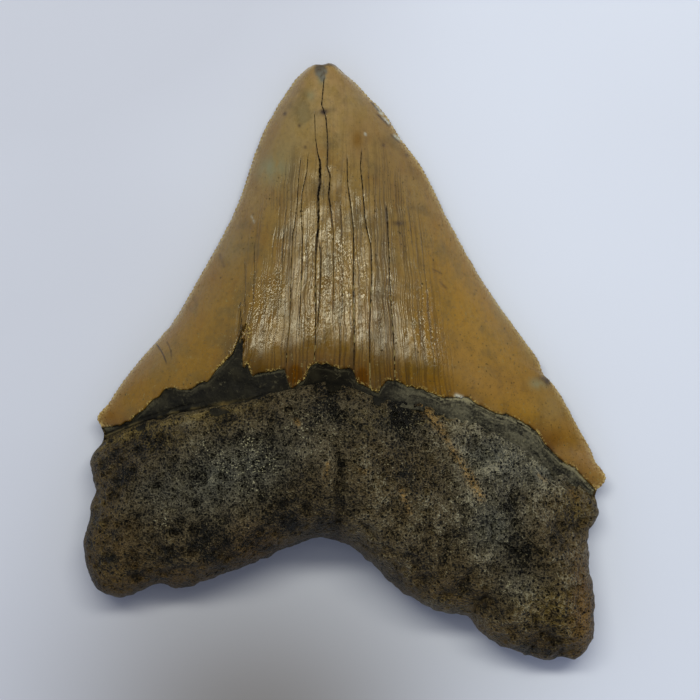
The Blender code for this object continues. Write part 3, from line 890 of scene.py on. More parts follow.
    def lingual(self, form: ToothForm, shell: Shell, web: Web, edge: Array, across: Array, up: Array,
                crack: Array | float = 0.0, depth: Array | float = 0.0, rim: int | None = None) -> Array:
        """Adds the main part of the lingual face, or one of its serrated strips.

        Args:
            form: The tooth's form.
            shell: Takes the points.
            web: The crown's web.
            edge: Points on the enamel's lower edge.
            across: Place across of each point.
            up: Place up the web of each point.
            crack: How open the cracks are at each point.
            depth: How deep they are.
            rim: The column of a strip that lies on the rim: 0 or -1.

        Returns:
            The points' indices, left to right.
        """
        plan = web.at(across, up)
        gap = form.outline.gap(plan)
        lip_gap = np.full(gap.shape, FAR)
        near = plan[..., 1] < self.edge_highest
        lip_gap[near] = nearest(plan[near], edge)
        each, hung = (1, 1.0) if rim is None else (self.finer, inside(gap))
        lip_gap[:each + 1] = 0.0
        drop = np.interp(np.arange(len(up)), (0, each), (1.0, 0.0))[:, None]
        height = self.surface(form, plan, across, up, gap, lip_gap) - depth - self.wall * drop * hung
        rim_height = form.thickness.rim(form.crown_band(up))
        height[-1] = rim_height[-1]
        marks = self.finish_marks(plan, gap, lip_gap)
        if rim is not None:
            height[:, rim] = rim_height[:, rim]
            plan = self.serrated(web, plan, up, rim)
        return shell.add(raised(plan, height), crack=crack, **marks)

    def serrated(self, web: Web, plan: Array, up: Array, rim: int) -> Array:
        """Plan points moved inwards by the serration of the rim that their column 0 or -1 lies on."""
        line, seed, inwards = (web.left, 8.0, 1.0) if rim == 0 else (web.right, 5.0, -1.0)
        length = np.linalg.norm(np.diff(np.array(line), axis=0), axis=1).sum()
        away = np.linalg.norm(plan - plan[:, rim][:, None], axis=-1)
        drawn = self.serration.drawn_in(up * length, away, seed)
        drawn = drawn * (1.0 - rise(0.97, 1.0, up)) * rise(0.0, 2.0, np.arange(len(up)) / self.finer)[:, None]
        return plan + np.stack((inwards * drawn, np.zeros_like(drawn)), axis=-1)

    def labial(self, form: ToothForm, shell: Shell, web: Web, across: Array, rows: Array, upper: Array,
               rim: int | None = None) -> Array:
        """Adds the main part of the labial face, or one of its serrated strips.

        Args:
            form: The tooth's form.
            shell: Takes the points.
            web: The labial crown's web.
            across: Place across of each point.
            rows: Place up the web of each row.
            upper: Indices of the lingual part above it, whose tip and rim it shares.
            rim: The column of a strip that lies on the rim: 0 or -1.

        Returns:
            The points' indices, left to right.
        """
        up = np.broadcast_to(rows[:, None], across.shape)
        plan = web.at(across, up)
        gap = form.outline.gap(plan)
        inner = inside(gap)
        waves = 0.1 * layered(plan / [1.0, 2.0], 12.0, 57.0, 2) * inner
        height = form.thickness.labial(side_of(across), 1.0 + up, gap, plan, waves)
        height = height + self.labial_lip * (1.0 - rounded(up * 65.0, 0.6)) * inner
        marks = self.finish_marks(plan, gap, np.full(gap.shape, FAR))
        marks.update({name: 0.0 for name in self.lingual_only})
        if rim is not None:
            start = web.left_start if rim == 0 else web.right_start
            plan = self.serrated(web, plan, start + up * (1.0 - start), rim)
        index = shell.add(raised(plan, height), crack=0.0, **marks)
        if rim is not None:
            index[:, rim] = upper[:, rim]
        index[-1] = upper[-1]
        return index

    @staticmethod
    def finish_marks(plan: Array, gap: Array, lip_gap: Array) -> dict[str, Array]:
        """Where the enamel's tints and wear lie, and the painted light on its wings, for the material."""
        x, y = plan[..., 0], plan[..., 1]
        half = np.interp(y, (-10.0, 10.0, 25.0, 40.0, 47.0, 52.0), (23.0, 19.5, 17.0, 10.0, 4.0, 1.0))
        reach = (1.0 - rise(0.8, 1.15, np.abs(x + 1.0) / half)) * (1.0 - 0.8 * rise(30.0, 46.0, y))
        # Painted light: the right wing lighter and golden, with a little of it on the left wing.
        golden = 0.5 * rise(8.0, 26.0, x) * (1.0 - 0.5 * rise(20.0, 40.0, y)) + 0.15 * rise(-18.0, -30.0, x)
        return {
            "lip": np.exp(-lip_gap / 0.9),
            "rim": np.exp(-gap / 0.5),
            "edge": np.exp(-gap / 1.8),
            "height": np.clip((y + 26.0) / 84.0, 0.0, 1.0),
            "golden": golden,
            "streaked": reach,
            "band": reach * (bell(x, -10.0, 1.9) + bell(x, 7.2, 1.8)),
            "gloss": spots(plan, (
                (-1.5, 14.8, 4.6, 7.5, 1.1), (-6, 8, 1.6, 6, 0.6), (-15.6, 13, 2.8, 4.6, 1.3),
                (-12.2, 12, 1, 5, 0.6), (7.2, 11, 1.1, 5.5, 0.8), (15.2, 9.5, 1.5, 7, 1.1),
                (17.6, 2, 1.8, 7, 1), (46.5, -20, 3, 3, 0.5))),
            "grey": spots(plan, (
                (-13.9, 37, 3.2, 2.6, 1), (-6.8, 51.5, 0.9, 1, 0.7), (-4.6, 54.9, 0.7, 1.4, 0.9),
                (-22, 22, 2.5, 4, 0.3), (36.5, 4.5, 2.5, 4.5, 0.5), (31, 12, 2, 5, 0.45),
                (-8.5, 47, 3.5, 5, 0.3), (-11.5, 41, 3, 3, 0.25), (2.5, 51, 2.5, 3, 0.2),
                (10.1, 43.5, 0.5, 0.5, 0.9), (40.5, -8.5, 4, 3.5, 0.25), (-36, 1.5, 3, 3, 0.15),
                (37.4, -4.4, 1.8, 1, 0.9))),
            "amber": spots(plan, (
                (2.4, 42.7, 2.2, 4.2, 0.75), (8.5, 38, 3, 6, 0.35), (-9.3, -2.6, 2.2, 2.8, 1.2),
                (-5, 0.9, 2.2, 1.4, 0.6), (3.4, -3, 1.7, 2.6, 1.2), (9, -2, 2, 3, 0.6),
                (-0.5, 0, 3, 1.6, 0.5), (-14.5, 0, 3.5, 1.6, 0.3), (15.5, -4, 4, 2, 0.3),
                (40, -15, 6, 4.5, 0.8), (30, -5, 9, 4, 0.5), (46.5, -21, 3, 3, 0.5), (22, 0, 6, 6, 0.3),
                (-45.5, -10.5, 2.6, 2, 0.7))),
            "brown": spots(plan, (
                (-11.7, 48, 0.4, 0.4, 0.9), (-8.8, 45.4, 0.3, 0.35, 0.9), (-7.6, 41.1, 0.3, 0.3, 0.8),
                (-4.1, 48, 0.7, 0.6, 0.9), (38.6, -3.4, 1.2, 0.5, 0.8), (39.4, -4.2, 0.7, 0.6, 1),
                (-17, 41.5, 0.5, 0.6, 0.6), (4, 43.8, 0.2, 0.2, 0.5), (10.3, 26.4, 1, 0.45, 0.8),
                (7.5, 41.8, 0.35, 0.35, 0.8), (12, 40.1, 0.4, 0.35, 0.7), (-4.3, 26.9, 0.3, 0.3, 0.7),
                (2.3, 28.7, 0.25, 0.3, 0.7), (1.7, 16.8, 0.25, 0.25, 0.9), (1.7, 12.7, 0.25, 0.25, 0.9),
                (16, 22, 0.5, 0.3, 0.4))) + strokes(plan, (
                (-24.3, 20.6, -23.3, 18.2, 0.2, 0.6), (-29.4, 12.5, -28.6, 10.8, 0.2, 0.4),
                (16.8, 17.6, 18.6, 16.8, 0.15, 0.6), (18.2, 15.2, 19.4, 14, 0.2, 0.5),
                (-1.9, 48.6, -5.6, 48, 0.5, 0.35), (5.2, 50.4, 6.6, 48.8, 0.25, 0.8),
                (6.4, 48, 8.6, 45.9, 0.22, 0.8), (9, 44, 10.6, 42.6, 0.2, 0.7),
                (-6.6, 58.1, -1.4, 57.6, 0.35, 0.8))),
            "chip": strokes(plan, (
                (6.2, 49.6, 7.2, 48.3, 0.35, 1), (7.6, 47.3, 8.6, 46.4, 0.3, 1),
                (9.7, 43.9, 10.8, 43.2, 0.3, 0.9), (-18.1, 27.9, -17.4, 26.7, 0.12, 0.6),
                (21.2, -6.6, 22.1, -6.9, 0.35, 1), (3.9, 43.9, 4, 43.8, 0.22, 0.9))),
            "worn": spots(plan, ((-4.8, 56.6, 1.5, 1.5, 1), (-4.4, 54.9, 0.6, 1.3, 0.6))),
            "lingual": np.ones_like(x),
            "slate": rise(57.6, 56.4, y),
            "buff": rise(34.0, 56.0, y) * (1.0 - 0.5 * rise(4.0, 12.0, np.abs(x + 3.0))),
        }


@dataclass(frozen=True)
class Bourlette:
    """The smooth dark band between root and enamel: a thin slab that runs on under both of them."""

    rows: int = 70
    columns: int = 420
    below: float = -0.03
    beyond: float = 0.035
    inset: float = 0.004
    slab: float = 1.2
    least_slab: float = 0.02

    def build(self, form: ToothForm, move: Array) -> bpy.types.Object:
        """Makes the bourlette's mesh object."""
        web, shell = form.crown_web(), Shell()
        across = np.linspace(self.inset, 1.0 - self.inset, self.columns + 1)
        highest = windows(form.enamel_edge(across), 6).max(axis=-1)
        highest = windows(highest, 3).mean(axis=-1) + self.beyond
        lowest = self.below * rise(0.0, 0.06, across) * (1.0 - rise(0.94, 1.0, across))
        share = np.linspace(0.0, 1.0, self.rows + 1)[:, None]
        up = lowest * (1.0 - share) + highest * share
        across = np.broadcast_to(across, up.shape)
        plan = web.at(across, up)
        gap = form.outline.gap(plan)
        inner = inside(gap)
        height = form.thickness.lingual(side_of(across), form.crown_band(up), gap) + self.relief(plan) * inner
        border = np.ones(up.shape, bool)
        border[1:-1, 1:-1] = False
        under = np.where(border, height, height - self.slab * inner - self.least_slab)
        marks = self.finish_marks(plan, form)
        top = shell.add(raised(plan, height), **marks)
        bottom = shell.add(raised(plan, under), **marks)
        bottom[border] = top[border]
        shell.quads(top)
        shell.quads(bottom[::-1])
        return shell.build("bourlette", move)

    @staticmethod
    def second_crease(x: Array, above: Array, width: float) -> Array:
        """A line on the left that climbs away from the root's upper edge, by x and height over that edge."""
        return 0.8 * bell(above, 1.4 + 0.03 * (x + 34.0), width) * rise(-24.0, -34.0, x)

    def relief(self, plan: Array) -> Array:
        """Low waves, two creases on the left along the root's upper edge, and grain on the right."""
        x = plan[..., 0]
        above = plan[..., 1] - line_at(ROOT_TOP, x)
        crease = (bell(above, 0.4, 0.25) + self.second_crease(x, above, 0.22)) * (1.0 - rise(-22.0, -12.0, x))
        grain = rise(10.0, 24.0, x) * layered(plan, 0.9, 67.0, 2)
        return 0.12 * layered(plan, 3.4, 61.0, 3) - 0.35 * crease + 0.12 * grain

    def finish_marks(self, plan: Array, form: ToothForm) -> dict[str, Array]:
        """Where the bourlette turns grey, ochre or pale, for the material."""
        x, above = plan[..., 0], form.above_root(plan)
        below = line_at(ENAMEL_EDGE, x) - plan[..., 1]
        right = 0.6 + 0.35 * rise(16.0, 26.0, x)
        return {
            "pale": rise(6.0, 12.0, x) * right + 0.12 * (1.0 - rise(-40.0, -14.0, x)),
            "seam": bell(above, 0.0, 0.45) + self.second_crease(x, above, 0.2),
            "flake": bell(above, 0.75, 0.2) * (1.0 - rise(-24.0, -16.0, x)),
            "below": below,
            "fringe": bell(below, 0.0, 0.9) * (rise(12.0, 20.0, x) * 0.8 + 0.2),
            "ochre": strokes(plan, (
                (-23.2, -8.4, -22.4, -8.6, 0.5, 0.9), (-19.9, 3.6, -19.35, 6.5, 0.14, 0.8))),
        }


@dataclass(frozen=True)
class RootBlock:
    """The root: two worn lobes with lumps, pits and pores, a middle boss and its nutrient crease."""

    rows: int = 138
    columns: int = 312
    step: float = 0.45
    tuck_depth: float = 1.0
    lump_height: float = 1.1
    lump_size: float = 9.0
    pit_depth: float = 1.0
    pit_size: float = 4.2
    hole: float = 0.38
    crease_depth: float = 1.3
    crease_width: float = 0.9
    rim_roughness: float = 0.28
    closing_rows: int = 6
    holes: Points = (
        (12.3, -16.6), (18.5, -17), (19.3, -18.9), (23.4, -20.9), (24.5, -20.4), (5.1, -17.6), (27.9, -33.3),
        (26.5, -42.7), (36.3, -49.1), (12.7, -39.6), (18.9, -44), (14.7, -13.5))
    crevices: tuple[Mark, ...] = (
        (24.6, -48.9, 25.5, -45.8, 0.5, 0.9), (25.5, -45.8, 27.5, -44.3, 0.4, 0.7),
        (31.4, -25.5, 32.4, -28.1, 0.5, 1), (34.9, -34.5, 37.4, -36.6, 0.5, 0.9),
        (32.6, -36, 34.9, -37.2, 0.4, 0.7), (-11.9, -24.8, -4.5, -25.3, 0.3, 0.5),
        (-30.2, -25, -28.2, -27.4, 0.5, 0.7), (-35.4, -38.8, -33, -36.2, 0.5, 0.7),
        (-20.5, -23, -18, -24, 0.4, 0.5), (3, -30, 5.5, -33, 0.4, 0.6), (14, -33, 16, -35.5, 0.4, 0.6),
        (40.5, -31, 42, -34, 0.4, 0.6), (-44.5, -24.5, -42.8, -26.5, 0.4, 0.5))
    hollows: tuple[Mark, ...] = (
        (39, -53.4, 4.3, 3.6, 1.6), (33.2, -36.9, 2.6, 2.6, 1), (26.3, -46.6, 2.6, 2.4, 0.9),
        (10.7, -9.9, 3.2, 3.6, 0.5))

    def build(self, form: ToothForm, move: Array) -> bpy.types.Object:
        """Makes the root's mesh object."""
        shell = Shell()
        up = np.linspace(0.0, 1.0, self.rows + 1)
        up = up - 0.06 * np.sin(np.pi * up) * (1.0 - up)
        across, up = np.broadcast_arrays(np.linspace(0.0, 1.0, self.columns + 1)[None, :], up[:, None])
        upper = self.lingual(form, shell, across, up)
        lower = self.labial(form, shell, across, up)
        for border in (np.s_[0], np.s_[:, 0], np.s_[:, -1]):
            lower[border] = upper[border]
        shell.quads(upper)
        shell.quads(lower[::-1])
        shell.bridge(upper[-1], lower[-1], self.closing_rows)
        return shell.build("root", move)

    def lingual(self, form: ToothForm, shell: Shell, across: Array, up: Array) -> Array:
        """Adds the upper face and returns its indices."""
        web = form.root_web(labial=False)
        plan = web.at(across, up)
        gap, above = form.outline.gap(plan), form.above_root(plan)
        span = np.linalg.norm(web.upper(across[0]) - web.lower(across[0]), axis=-1)
        tucked = np.interp(across[0], (0.0, MIDDLE, 1.0), [move[1] for move in form.tuck])
        ends = 1.0 - tucked / span
        band = np.where(up < ends, 0.96 * up / ends, 0.96 + (up - ends) * span * form.band_for_each_mm)
        inner, own = inside(gap), 1.0 - rise(-0.35, 0.3, above)
        relief = self.relief(plan, 3.0)
        crease = bell(plan[..., 0], np.interp(plan[..., 1], *np.transpose(CREASE)[::-1]), self.crease_width)
        crease = crease * (1.0 - rise(0.45, 0.7, band))
        step = self.step * (1.0 - 0.85 * rise(6.0, 16.0, plan[..., 0]))
        lift = (step + relief - self.crease_depth * crease) * own - self.tuck_depth * rise(-0.1, 0.9, above)
        height = form.thickness.lingual(side_of(across), band, gap) + lift * inner
        rim_height = form.thickness.rim(band)
        for border in (np.s_[0], np.s_[:, 0], np.s_[:, -1]):
            height[border] = rim_height[border]
        plan = self.rough_rim(plan, gap)
        return shell.add(raised(plan, height), **self.finish_marks(plan, gap, relief, above, crease))

    def labial(self, form: ToothForm, shell: Shell, across: Array, up: Array) -> Array:
        """Adds the lower face and returns its indices."""
        plan = form.root_web(labial=True).at(across, up)
        gap = form.outline.gap(plan)
        inner, relief, near_crown = inside(gap), self.relief(plan, 11.0), rise(0.9, 1.0, up)
        height = form.thickness.labial(
            side_of(across), up, gap, plan, 0.5 * relief * inner * (1.0 - near_crown))
        height = height + 0.3 * near_crown * inner
        plan = self.rough_rim(plan, gap)
        marks = self.finish_marks(plan, gap, relief, np.full(up.shape, -FAR), 0.0 * up)
        return shell.add(raised(plan, height), **marks)

    def rough_rim(self, plan: Array, gap: Array) -> Array:
        """Plan points near the rim moved a little by noise, but not at the two corners of the crown."""
        near = np.exp(-gap / 1.2)[..., None]
        away = np.stack((layered(plan, 2.4, 71.0, 3), layered(plan, 2.4, 77.0, 3)), axis=-1)
        corner = rise(-20.0, -17.0, plan[..., 1:]) * (np.abs(plan[..., :1]) > 40.0)
        return plan + self.rim_roughness * near * away * (1.0 - corner)

    def relief(self, plan: Array, seed: float) -> Array:
        """Lumps, less wide pits, small pores, larger holes, hollows and crevices, in millimetres."""
        lumps = self.lump_height * layered(plan, self.lump_size, seed, 2)
        pits = self.pit_depth * np.clip(np.abs(layered(plan, self.pit_size, seed + 5.0, 3)) * 1.8 - 0.5, 0, 1)
        grain = 0.22 * layered(plan, 1.5, seed + 11.0, 3)
        small = 0.45 * pores(plan, 1.25, seed + 1.0, 0.42) + 0.5 * pores(plan, 2.9, seed + 2.0, 0.7)
        holes = spots(plan, [(x, y, self.hole, self.hole, 0.9) for x, y in self.holes])
        return lumps - pits + grain - small - holes - spots(plan, self.hollows) - strokes(plan, self.crevices)

    @staticmethod
    def finish_marks(plan: Array, gap: Array, relief: Array, above: Array, crease: Array) -> dict[str, Array]:
        """Where the root's tints lie, with painted shade on the left and zones of painted glints, for the
        material.
        """
        x = plan[..., 0]
        lobes = spots(plan, (
            (-44, -38, 7, 9, 0.8), (-28, -42, 12, 4, 0.6), (44, -50, 6, 9, 0.2), (28, -52, 9, 5, 0.4),
            (-12, -37, 8, 3, 0.4), (17, -44, 8, 4, 0.5)))
        marks = {
            "skin": 0.75 * np.exp(-gap / 3.5) + lobes,
            # dark: darker in the crease and in patches at the hollows; its term in x is painted shade over the
            # left part.
            "dark": 0.8 * crease + 0.3 * (1.0 - rise(-8.0, 18.0, x)) + spots(plan, (
                (10.9, -9.3, 3.4, 3.8, 1.1), (39, -53, 4, 3.2, 0.9), (33.2, -37.5, 3.6, 3, 0.9),
                (31.5, -27, 1.8, 2.4, 0.9), (14.5, -35.5, 2.6, 2.4, 0.8), (26.3, -46.6, 3, 2.6, 0.7),
                (-20, -20, 5, 4, 0.35), (-12, -30, 8, 4, 0.4), (-35, -33, 8, 5, 0.25), (-29, -24, 5, 5, 0.45),
                (-42.5, -31, 2.5, 3.5, 0.4), (-20, -37, 9, 3, 0.4), (-1, -29, 3, 5, 0.4),
                (23, -42, 4, 3, 0.3), (-44, -42, 9, 7, 0.35), (-30, -36, 9, 7, 0.25))),
            "cool": spots(plan, (
                (-25, -22, 9, 8, 0.6), (-14, -18, 7, 6, 0.5), (29, -17.5, 8, 6, 0.8), (28, -31, 7, 7, 0.75),
                (12, -12, 6, 4, 0.5), (-36, -24, 5, 5, 0.4), (33, -43, 5, 4, 0.5), (40, -21.5, 6, 3, 0.6),
                (-2, -10, 8, 4, 0.35))),
            # sparkle: zones of painted glints, with more pale specks and a lower roughness.
            "sparkle": spots(plan, (
                (-18, -15.5, 2.5, 3, 0.9), (-16, -20, 3, 2, 0.9), (-22, -19.5, 2, 2, 0.8),
                (-27, -16.5, 2, 2, 0.7), (-18, -25, 3, 2, 0.8), (-6, -14, 6, 5, 0.5), (8, -20, 8, 5, 0.4),
                (-34, -30.5, 2, 2, 0.6), (20, -30, 6, 8, 0.4))),
            "olive": spots(plan, (
                (44.6, -27.8, 3.6, 4.2, 0.8), (45, -51.5, 4.4, 8, 1.1), (38, -47, 6, 4, 0.8),
                (-47.5, -30.5, 2, 5, 0.9), (-45.5, -40.5, 3, 2.5, 0.6), (-38, -14.5, 8, 2.2, 0.7),
                (-24, -11.5, 6, 1.8, 0.5), (17, -10.5, 5, 2.5, 0.5), (4, -11, 6, 3, 0.3),
                (19, -46.5, 5, 3, 0.6), (28, -53.5, 4, 2, 0.5))),
            "rust": spots(plan, ((45.5, -50, 2, 5, 0.5),)) + strokes(plan, (
                (15, -8.6, 18, -12.5, 0.8, 0.7), (18, -12.5, 20.5, -17, 0.5, 0.5),
                (-9.2, -11.2, -8.8, -11.4, 0.4, 0.5), (43.5, -25, 44.7, -26.6, 0.5, 0.9))),
            "ochre": strokes(plan, (
                (15, -8.6, 18, -12.5, 0.8, 0.5), (18, -12.5, 20.5, -17, 0.6, 0.4),
                (20.5, -17, 23, -20.8, 0.8, 0.75), (23, -20.8, 25.7, -25.7, 0.9, 0.9),
                (10.6, -24.2, 11.2, -26, 0.5, 0.9), (11.2, -26, 12.3, -28.4, 0.4, 0.7),
                (-3.1, -19, -3.7, -21.5, 0.35, 0.9), (3, -20.2, 4.4, -20.7, 0.4, 0.6),
                (-9, -11.2, -8.6, -11.9, 0.4, 0.8), (45.6, -45, 46.3, -54, 1, 0.4),
                (37.2, -21.8, 38.6, -23, 0.4, 0.5))),
            "warm": spots(plan, (
                (-16, -35.5, 5, 4.5, 0.6), (-30, -42, 8, 2.5, 0.6), (-12, -38, 9, 1.6, 0.6),
                (46, -41, 2.4, 5, 0.6), (46, -50, 3.2, 7, 0.9), (-44, -44, 6, 2.5, 0.4),
                (24, -52, 4, 2, 0.4))),
        }
        ledge = bell(above, -0.8, 0.75) * (1.0 - rise(-26.0, -12.0, x))
        return {name: np.clip(mark, 0.0, 1.0) for name, mark in marks.items()} | {
            "relief": relief, "ledge": ledge}


# --------------------------------------------------------------------------------------------------- finishes

def shown(red: float, green: float, blue: float) -> Colour:
    """Linear values of a display colour given in 0 to 255."""
    return tuple(((c / 255 + 0.055) / 1.055) ** 2.4 for c in (red, green, blue))


@dataclass(frozen=True)
class Value:
    """A shader socket that can be used in Python sums, each of which adds a maths node."""

    graph: "Graph"
    socket: bpy.types.NodeSocket

    def _maths(self, operation: str, first: "Value | float", second: "Value | float" = 0.0) -> "Value":
        """Adds one maths node and returns its result."""
        made = self.graph.node("Math", {"operation": operation}, {0: first, 1: second})
        return Value(self.graph, made.outputs[0])

    def __add__(self, other: "Value | float") -> "Value":
        """This plus other."""
        return self._maths("ADD", self, other)

    __radd__ = __add__

    def __sub__(self, other: "Value | float") -> "Value":
        """This minus other."""
        return self._maths("SUBTRACT", self, other)

    def __rsub__(self, other: "Value | float") -> "Value":
        """Other minus this."""
        return self._maths("SUBTRACT", other, self)

    def __mul__(self, other: "Value | float") -> "Value":
        """This times other."""
        return self._maths("MULTIPLY", self, other)

    __rmul__ = __mul__

    def __truediv__(self, other: "Value | float") -> "Value":
        """This over other."""
        return self._maths("DIVIDE", self, other)

    def __rtruediv__(self, other: "Value | float") -> "Value":
        """Other over this."""
        return self._maths("DIVIDE", other, self)

    def __pow__(self, other: "Value | float") -> "Value":
        """This to the power of other."""
        return self._maths("POWER", self, other)

    def __neg__(self) -> "Value":
        """Minus this."""
        return self._maths("MULTIPLY", self, -1.0)

    def __abs__(self) -> "Value":
        """This without its sign."""
        return self._maths("ABSOLUTE", self)

    def highest(self, other: "Value | float") -> "Value":
        """The higher of this and other."""
        return self._maths("MAXIMUM", self, other)

    def lowest(self, other: "Value | float") -> "Value":
        """The lower of this and other."""
        return self._maths("MINIMUM", self, other)

    def exponential(self) -> "Value":
        """e to the power of this."""
        return self._maths("EXPONENT", self)

    def rise(self, low: float, high: float) -> "Value":
        """0 below low, 1 above high and a smooth step between; falling where low is over high."""
        if low > high:
            return 1.0 - self.rise(high, low)
        made = self.graph.node("MapRange", {"interpolation_type": "SMOOTHSTEP"},
                               {"Value": self, "From Min": low, "From Max": high})
        return Value(self.graph, made.outputs[0])


class Graph:
    """The nodes of a material, ending in a Principled shader, or of a sky."""

    def __init__(self, name: str, sky: bool = False) -> None:
        """Makes the material or the sky, and its shader."""
        self.material = (bpy.data.worlds if sky else bpy.data.materials).new(name)
        self.material.use_nodes = True
        self.tree = self.material.node_tree
        self.tree.nodes.clear()
        self.shader = self.node("Background" if sky else "BsdfPrincipled")
        self.end = self.node("OutputWorld" if sky else "OutputMaterial",
                             inputs={"Surface": self.shader.outputs[0]})
        self._place: dict[Colour, Value] = {}

    def node(self, kind: str, settings: dict[str, object] | None = None,
             inputs: dict[str | int, object] | None = None) -> bpy.types.Node:
        """Adds one node.

        Args:
            kind: Its type without the common first word.
            settings: Properties, set before the inputs.
            inputs: What goes into its sockets: a Value, a socket, a number or a tuple.

        Returns:
            The node.
        """
        made = self.tree.nodes.new("ShaderNode" + kind)
        for name, setting in (settings or {}).items():
            setattr(made, name, setting)
        for key, given in (inputs or {}).items():
            self.feed(made.inputs[key], given)
        return made

    def feed(self, socket: bpy.types.NodeSocket, given: object) -> None:
        """Links a Value or a socket to a socket, or sets the socket to a constant."""
        given = given.socket if isinstance(given, Value) else given
        if isinstance(given, bpy.types.NodeSocket):
            self.tree.links.new(given, socket)
        elif isinstance(given, tuple) and socket.type == "RGBA":
            socket.default_value = (*given[:3], 1.0)
        else:
            socket.default_value = given

    def finish(self, **inputs: object) -> bpy.types.Material:
        """Feeds the shader's sockets, whose names have underscores for blanks, and returns the material."""
        for name, given in inputs.items():
            self.feed(self.shader.inputs[name.replace("_", " ")], given)
        return self.material

    def dulled(self, share: Value, specular: float) -> None:
        """Mixes the shader with a copy of it that shines less.

        Args:
            share: How much of the copy shows, 0 to 1.
            specular: The copy's specular level.
        """
        copy = self.node("BsdfPrincipled")
        for link in [link for link in self.tree.links if link.to_node == self.shader]:
            self.tree.links.new(link.from_socket, copy.inputs[link.to_socket.name])
        copy.inputs["Specular IOR Level"].default_value = specular
        mixed = self.node("MixShader", inputs={0: share, 1: self.shader.outputs[0], 2: copy.outputs[0]})
        self.tree.links.new(mixed.outputs[0], self.end.inputs["Surface"])

    def mark(self, name: str) -> Value:
        """A value stored on the mesh."""
        made = self.node("Attribute", {"attribute_name": name})
        return Value(self, made.outputs["Fac"])

    def place(self, stretch: Colour = (1.0, 1.0, 1.0)) -> Value:
        """Object coordinates in millimetres, each axis times its own factor."""
        if stretch not in self._place:
            source = self.node("TexCoord").outputs["Object"]
            factors = tuple(factor / MM for factor in stretch)
            made = self.node("VectorMath", {"operation": "MULTIPLY"}, {0: source, 1: factors})
            self._place[stretch] = Value(self, made.outputs[0])
        return self._place[stretch]

    def axes(self) -> tuple[Value, Value, Value]:
        """Object coordinates in millimetres as three values."""
        return tuple(Value(self, axis) for axis in self.node("SeparateXYZ", inputs={0: self.place()}).outputs)

    def joined(self, x: Value | float, y: Value | float, z: Value | float) -> Value:
        """A vector from three values."""
        return Value(self, self.node("CombineXYZ", inputs={0: x, 1: y, 2: z}).outputs[0])

    def noise(self, size: float, detail: float, stretch: Colour = (1.0, 1.0, 1.0), roughness: float = 0.55,
              at: Value | None = None, distortion: float = 0.0) -> Value:
        """Smooth noise from 0 to 1 whose features have the size given in millimetres."""
        made = self.node("TexNoise", inputs={
            "Vector": at or self.place(stretch), "Scale": 1.0 / size, "Detail": detail,
            "Roughness": roughness, "Distortion": distortion})
        return Value(self, made.outputs[0])

    def cells(self, size: float) -> tuple[Value, Value]:
        """Distance from the nearest of scattered points, in cells, and a value that differs for each."""
        made = self.node("TexVoronoi", inputs={"Vector": self.place(), "Scale": 1.0 / size})
        split = self.node("SeparateXYZ", inputs={0: made.outputs[1]})
        return Value(self, made.outputs[0]), Value(self, split.outputs[0])

    def mix(self, share: Value | float, first: Value | Colour, second: Value | Colour) -> Value:
        """A colour between two colours."""
        made = self.node("Mix", {"data_type": "RGBA"}, {0: share, 6: first, 7: second})
        return Value(self, made.outputs[2])

    def painted(self, base: Value | Colour, *coats: tuple[Value, Value | Colour]) -> Value:
        """A colour covered by coats in their order, each with the share that it covers and its own colour."""
        for share, colour in coats:
            base = self.mix(share, base, colour)
        return base

    def bump(self, height: Value, distance: float) -> Value:
        """A normal from a height; distance is the height of 1, in millimetres."""
        made = self.node("Bump", inputs={"Height": height, "Strength": 1.0, "Distance": distance * MM})
        return Value(self, made.outputs[0])


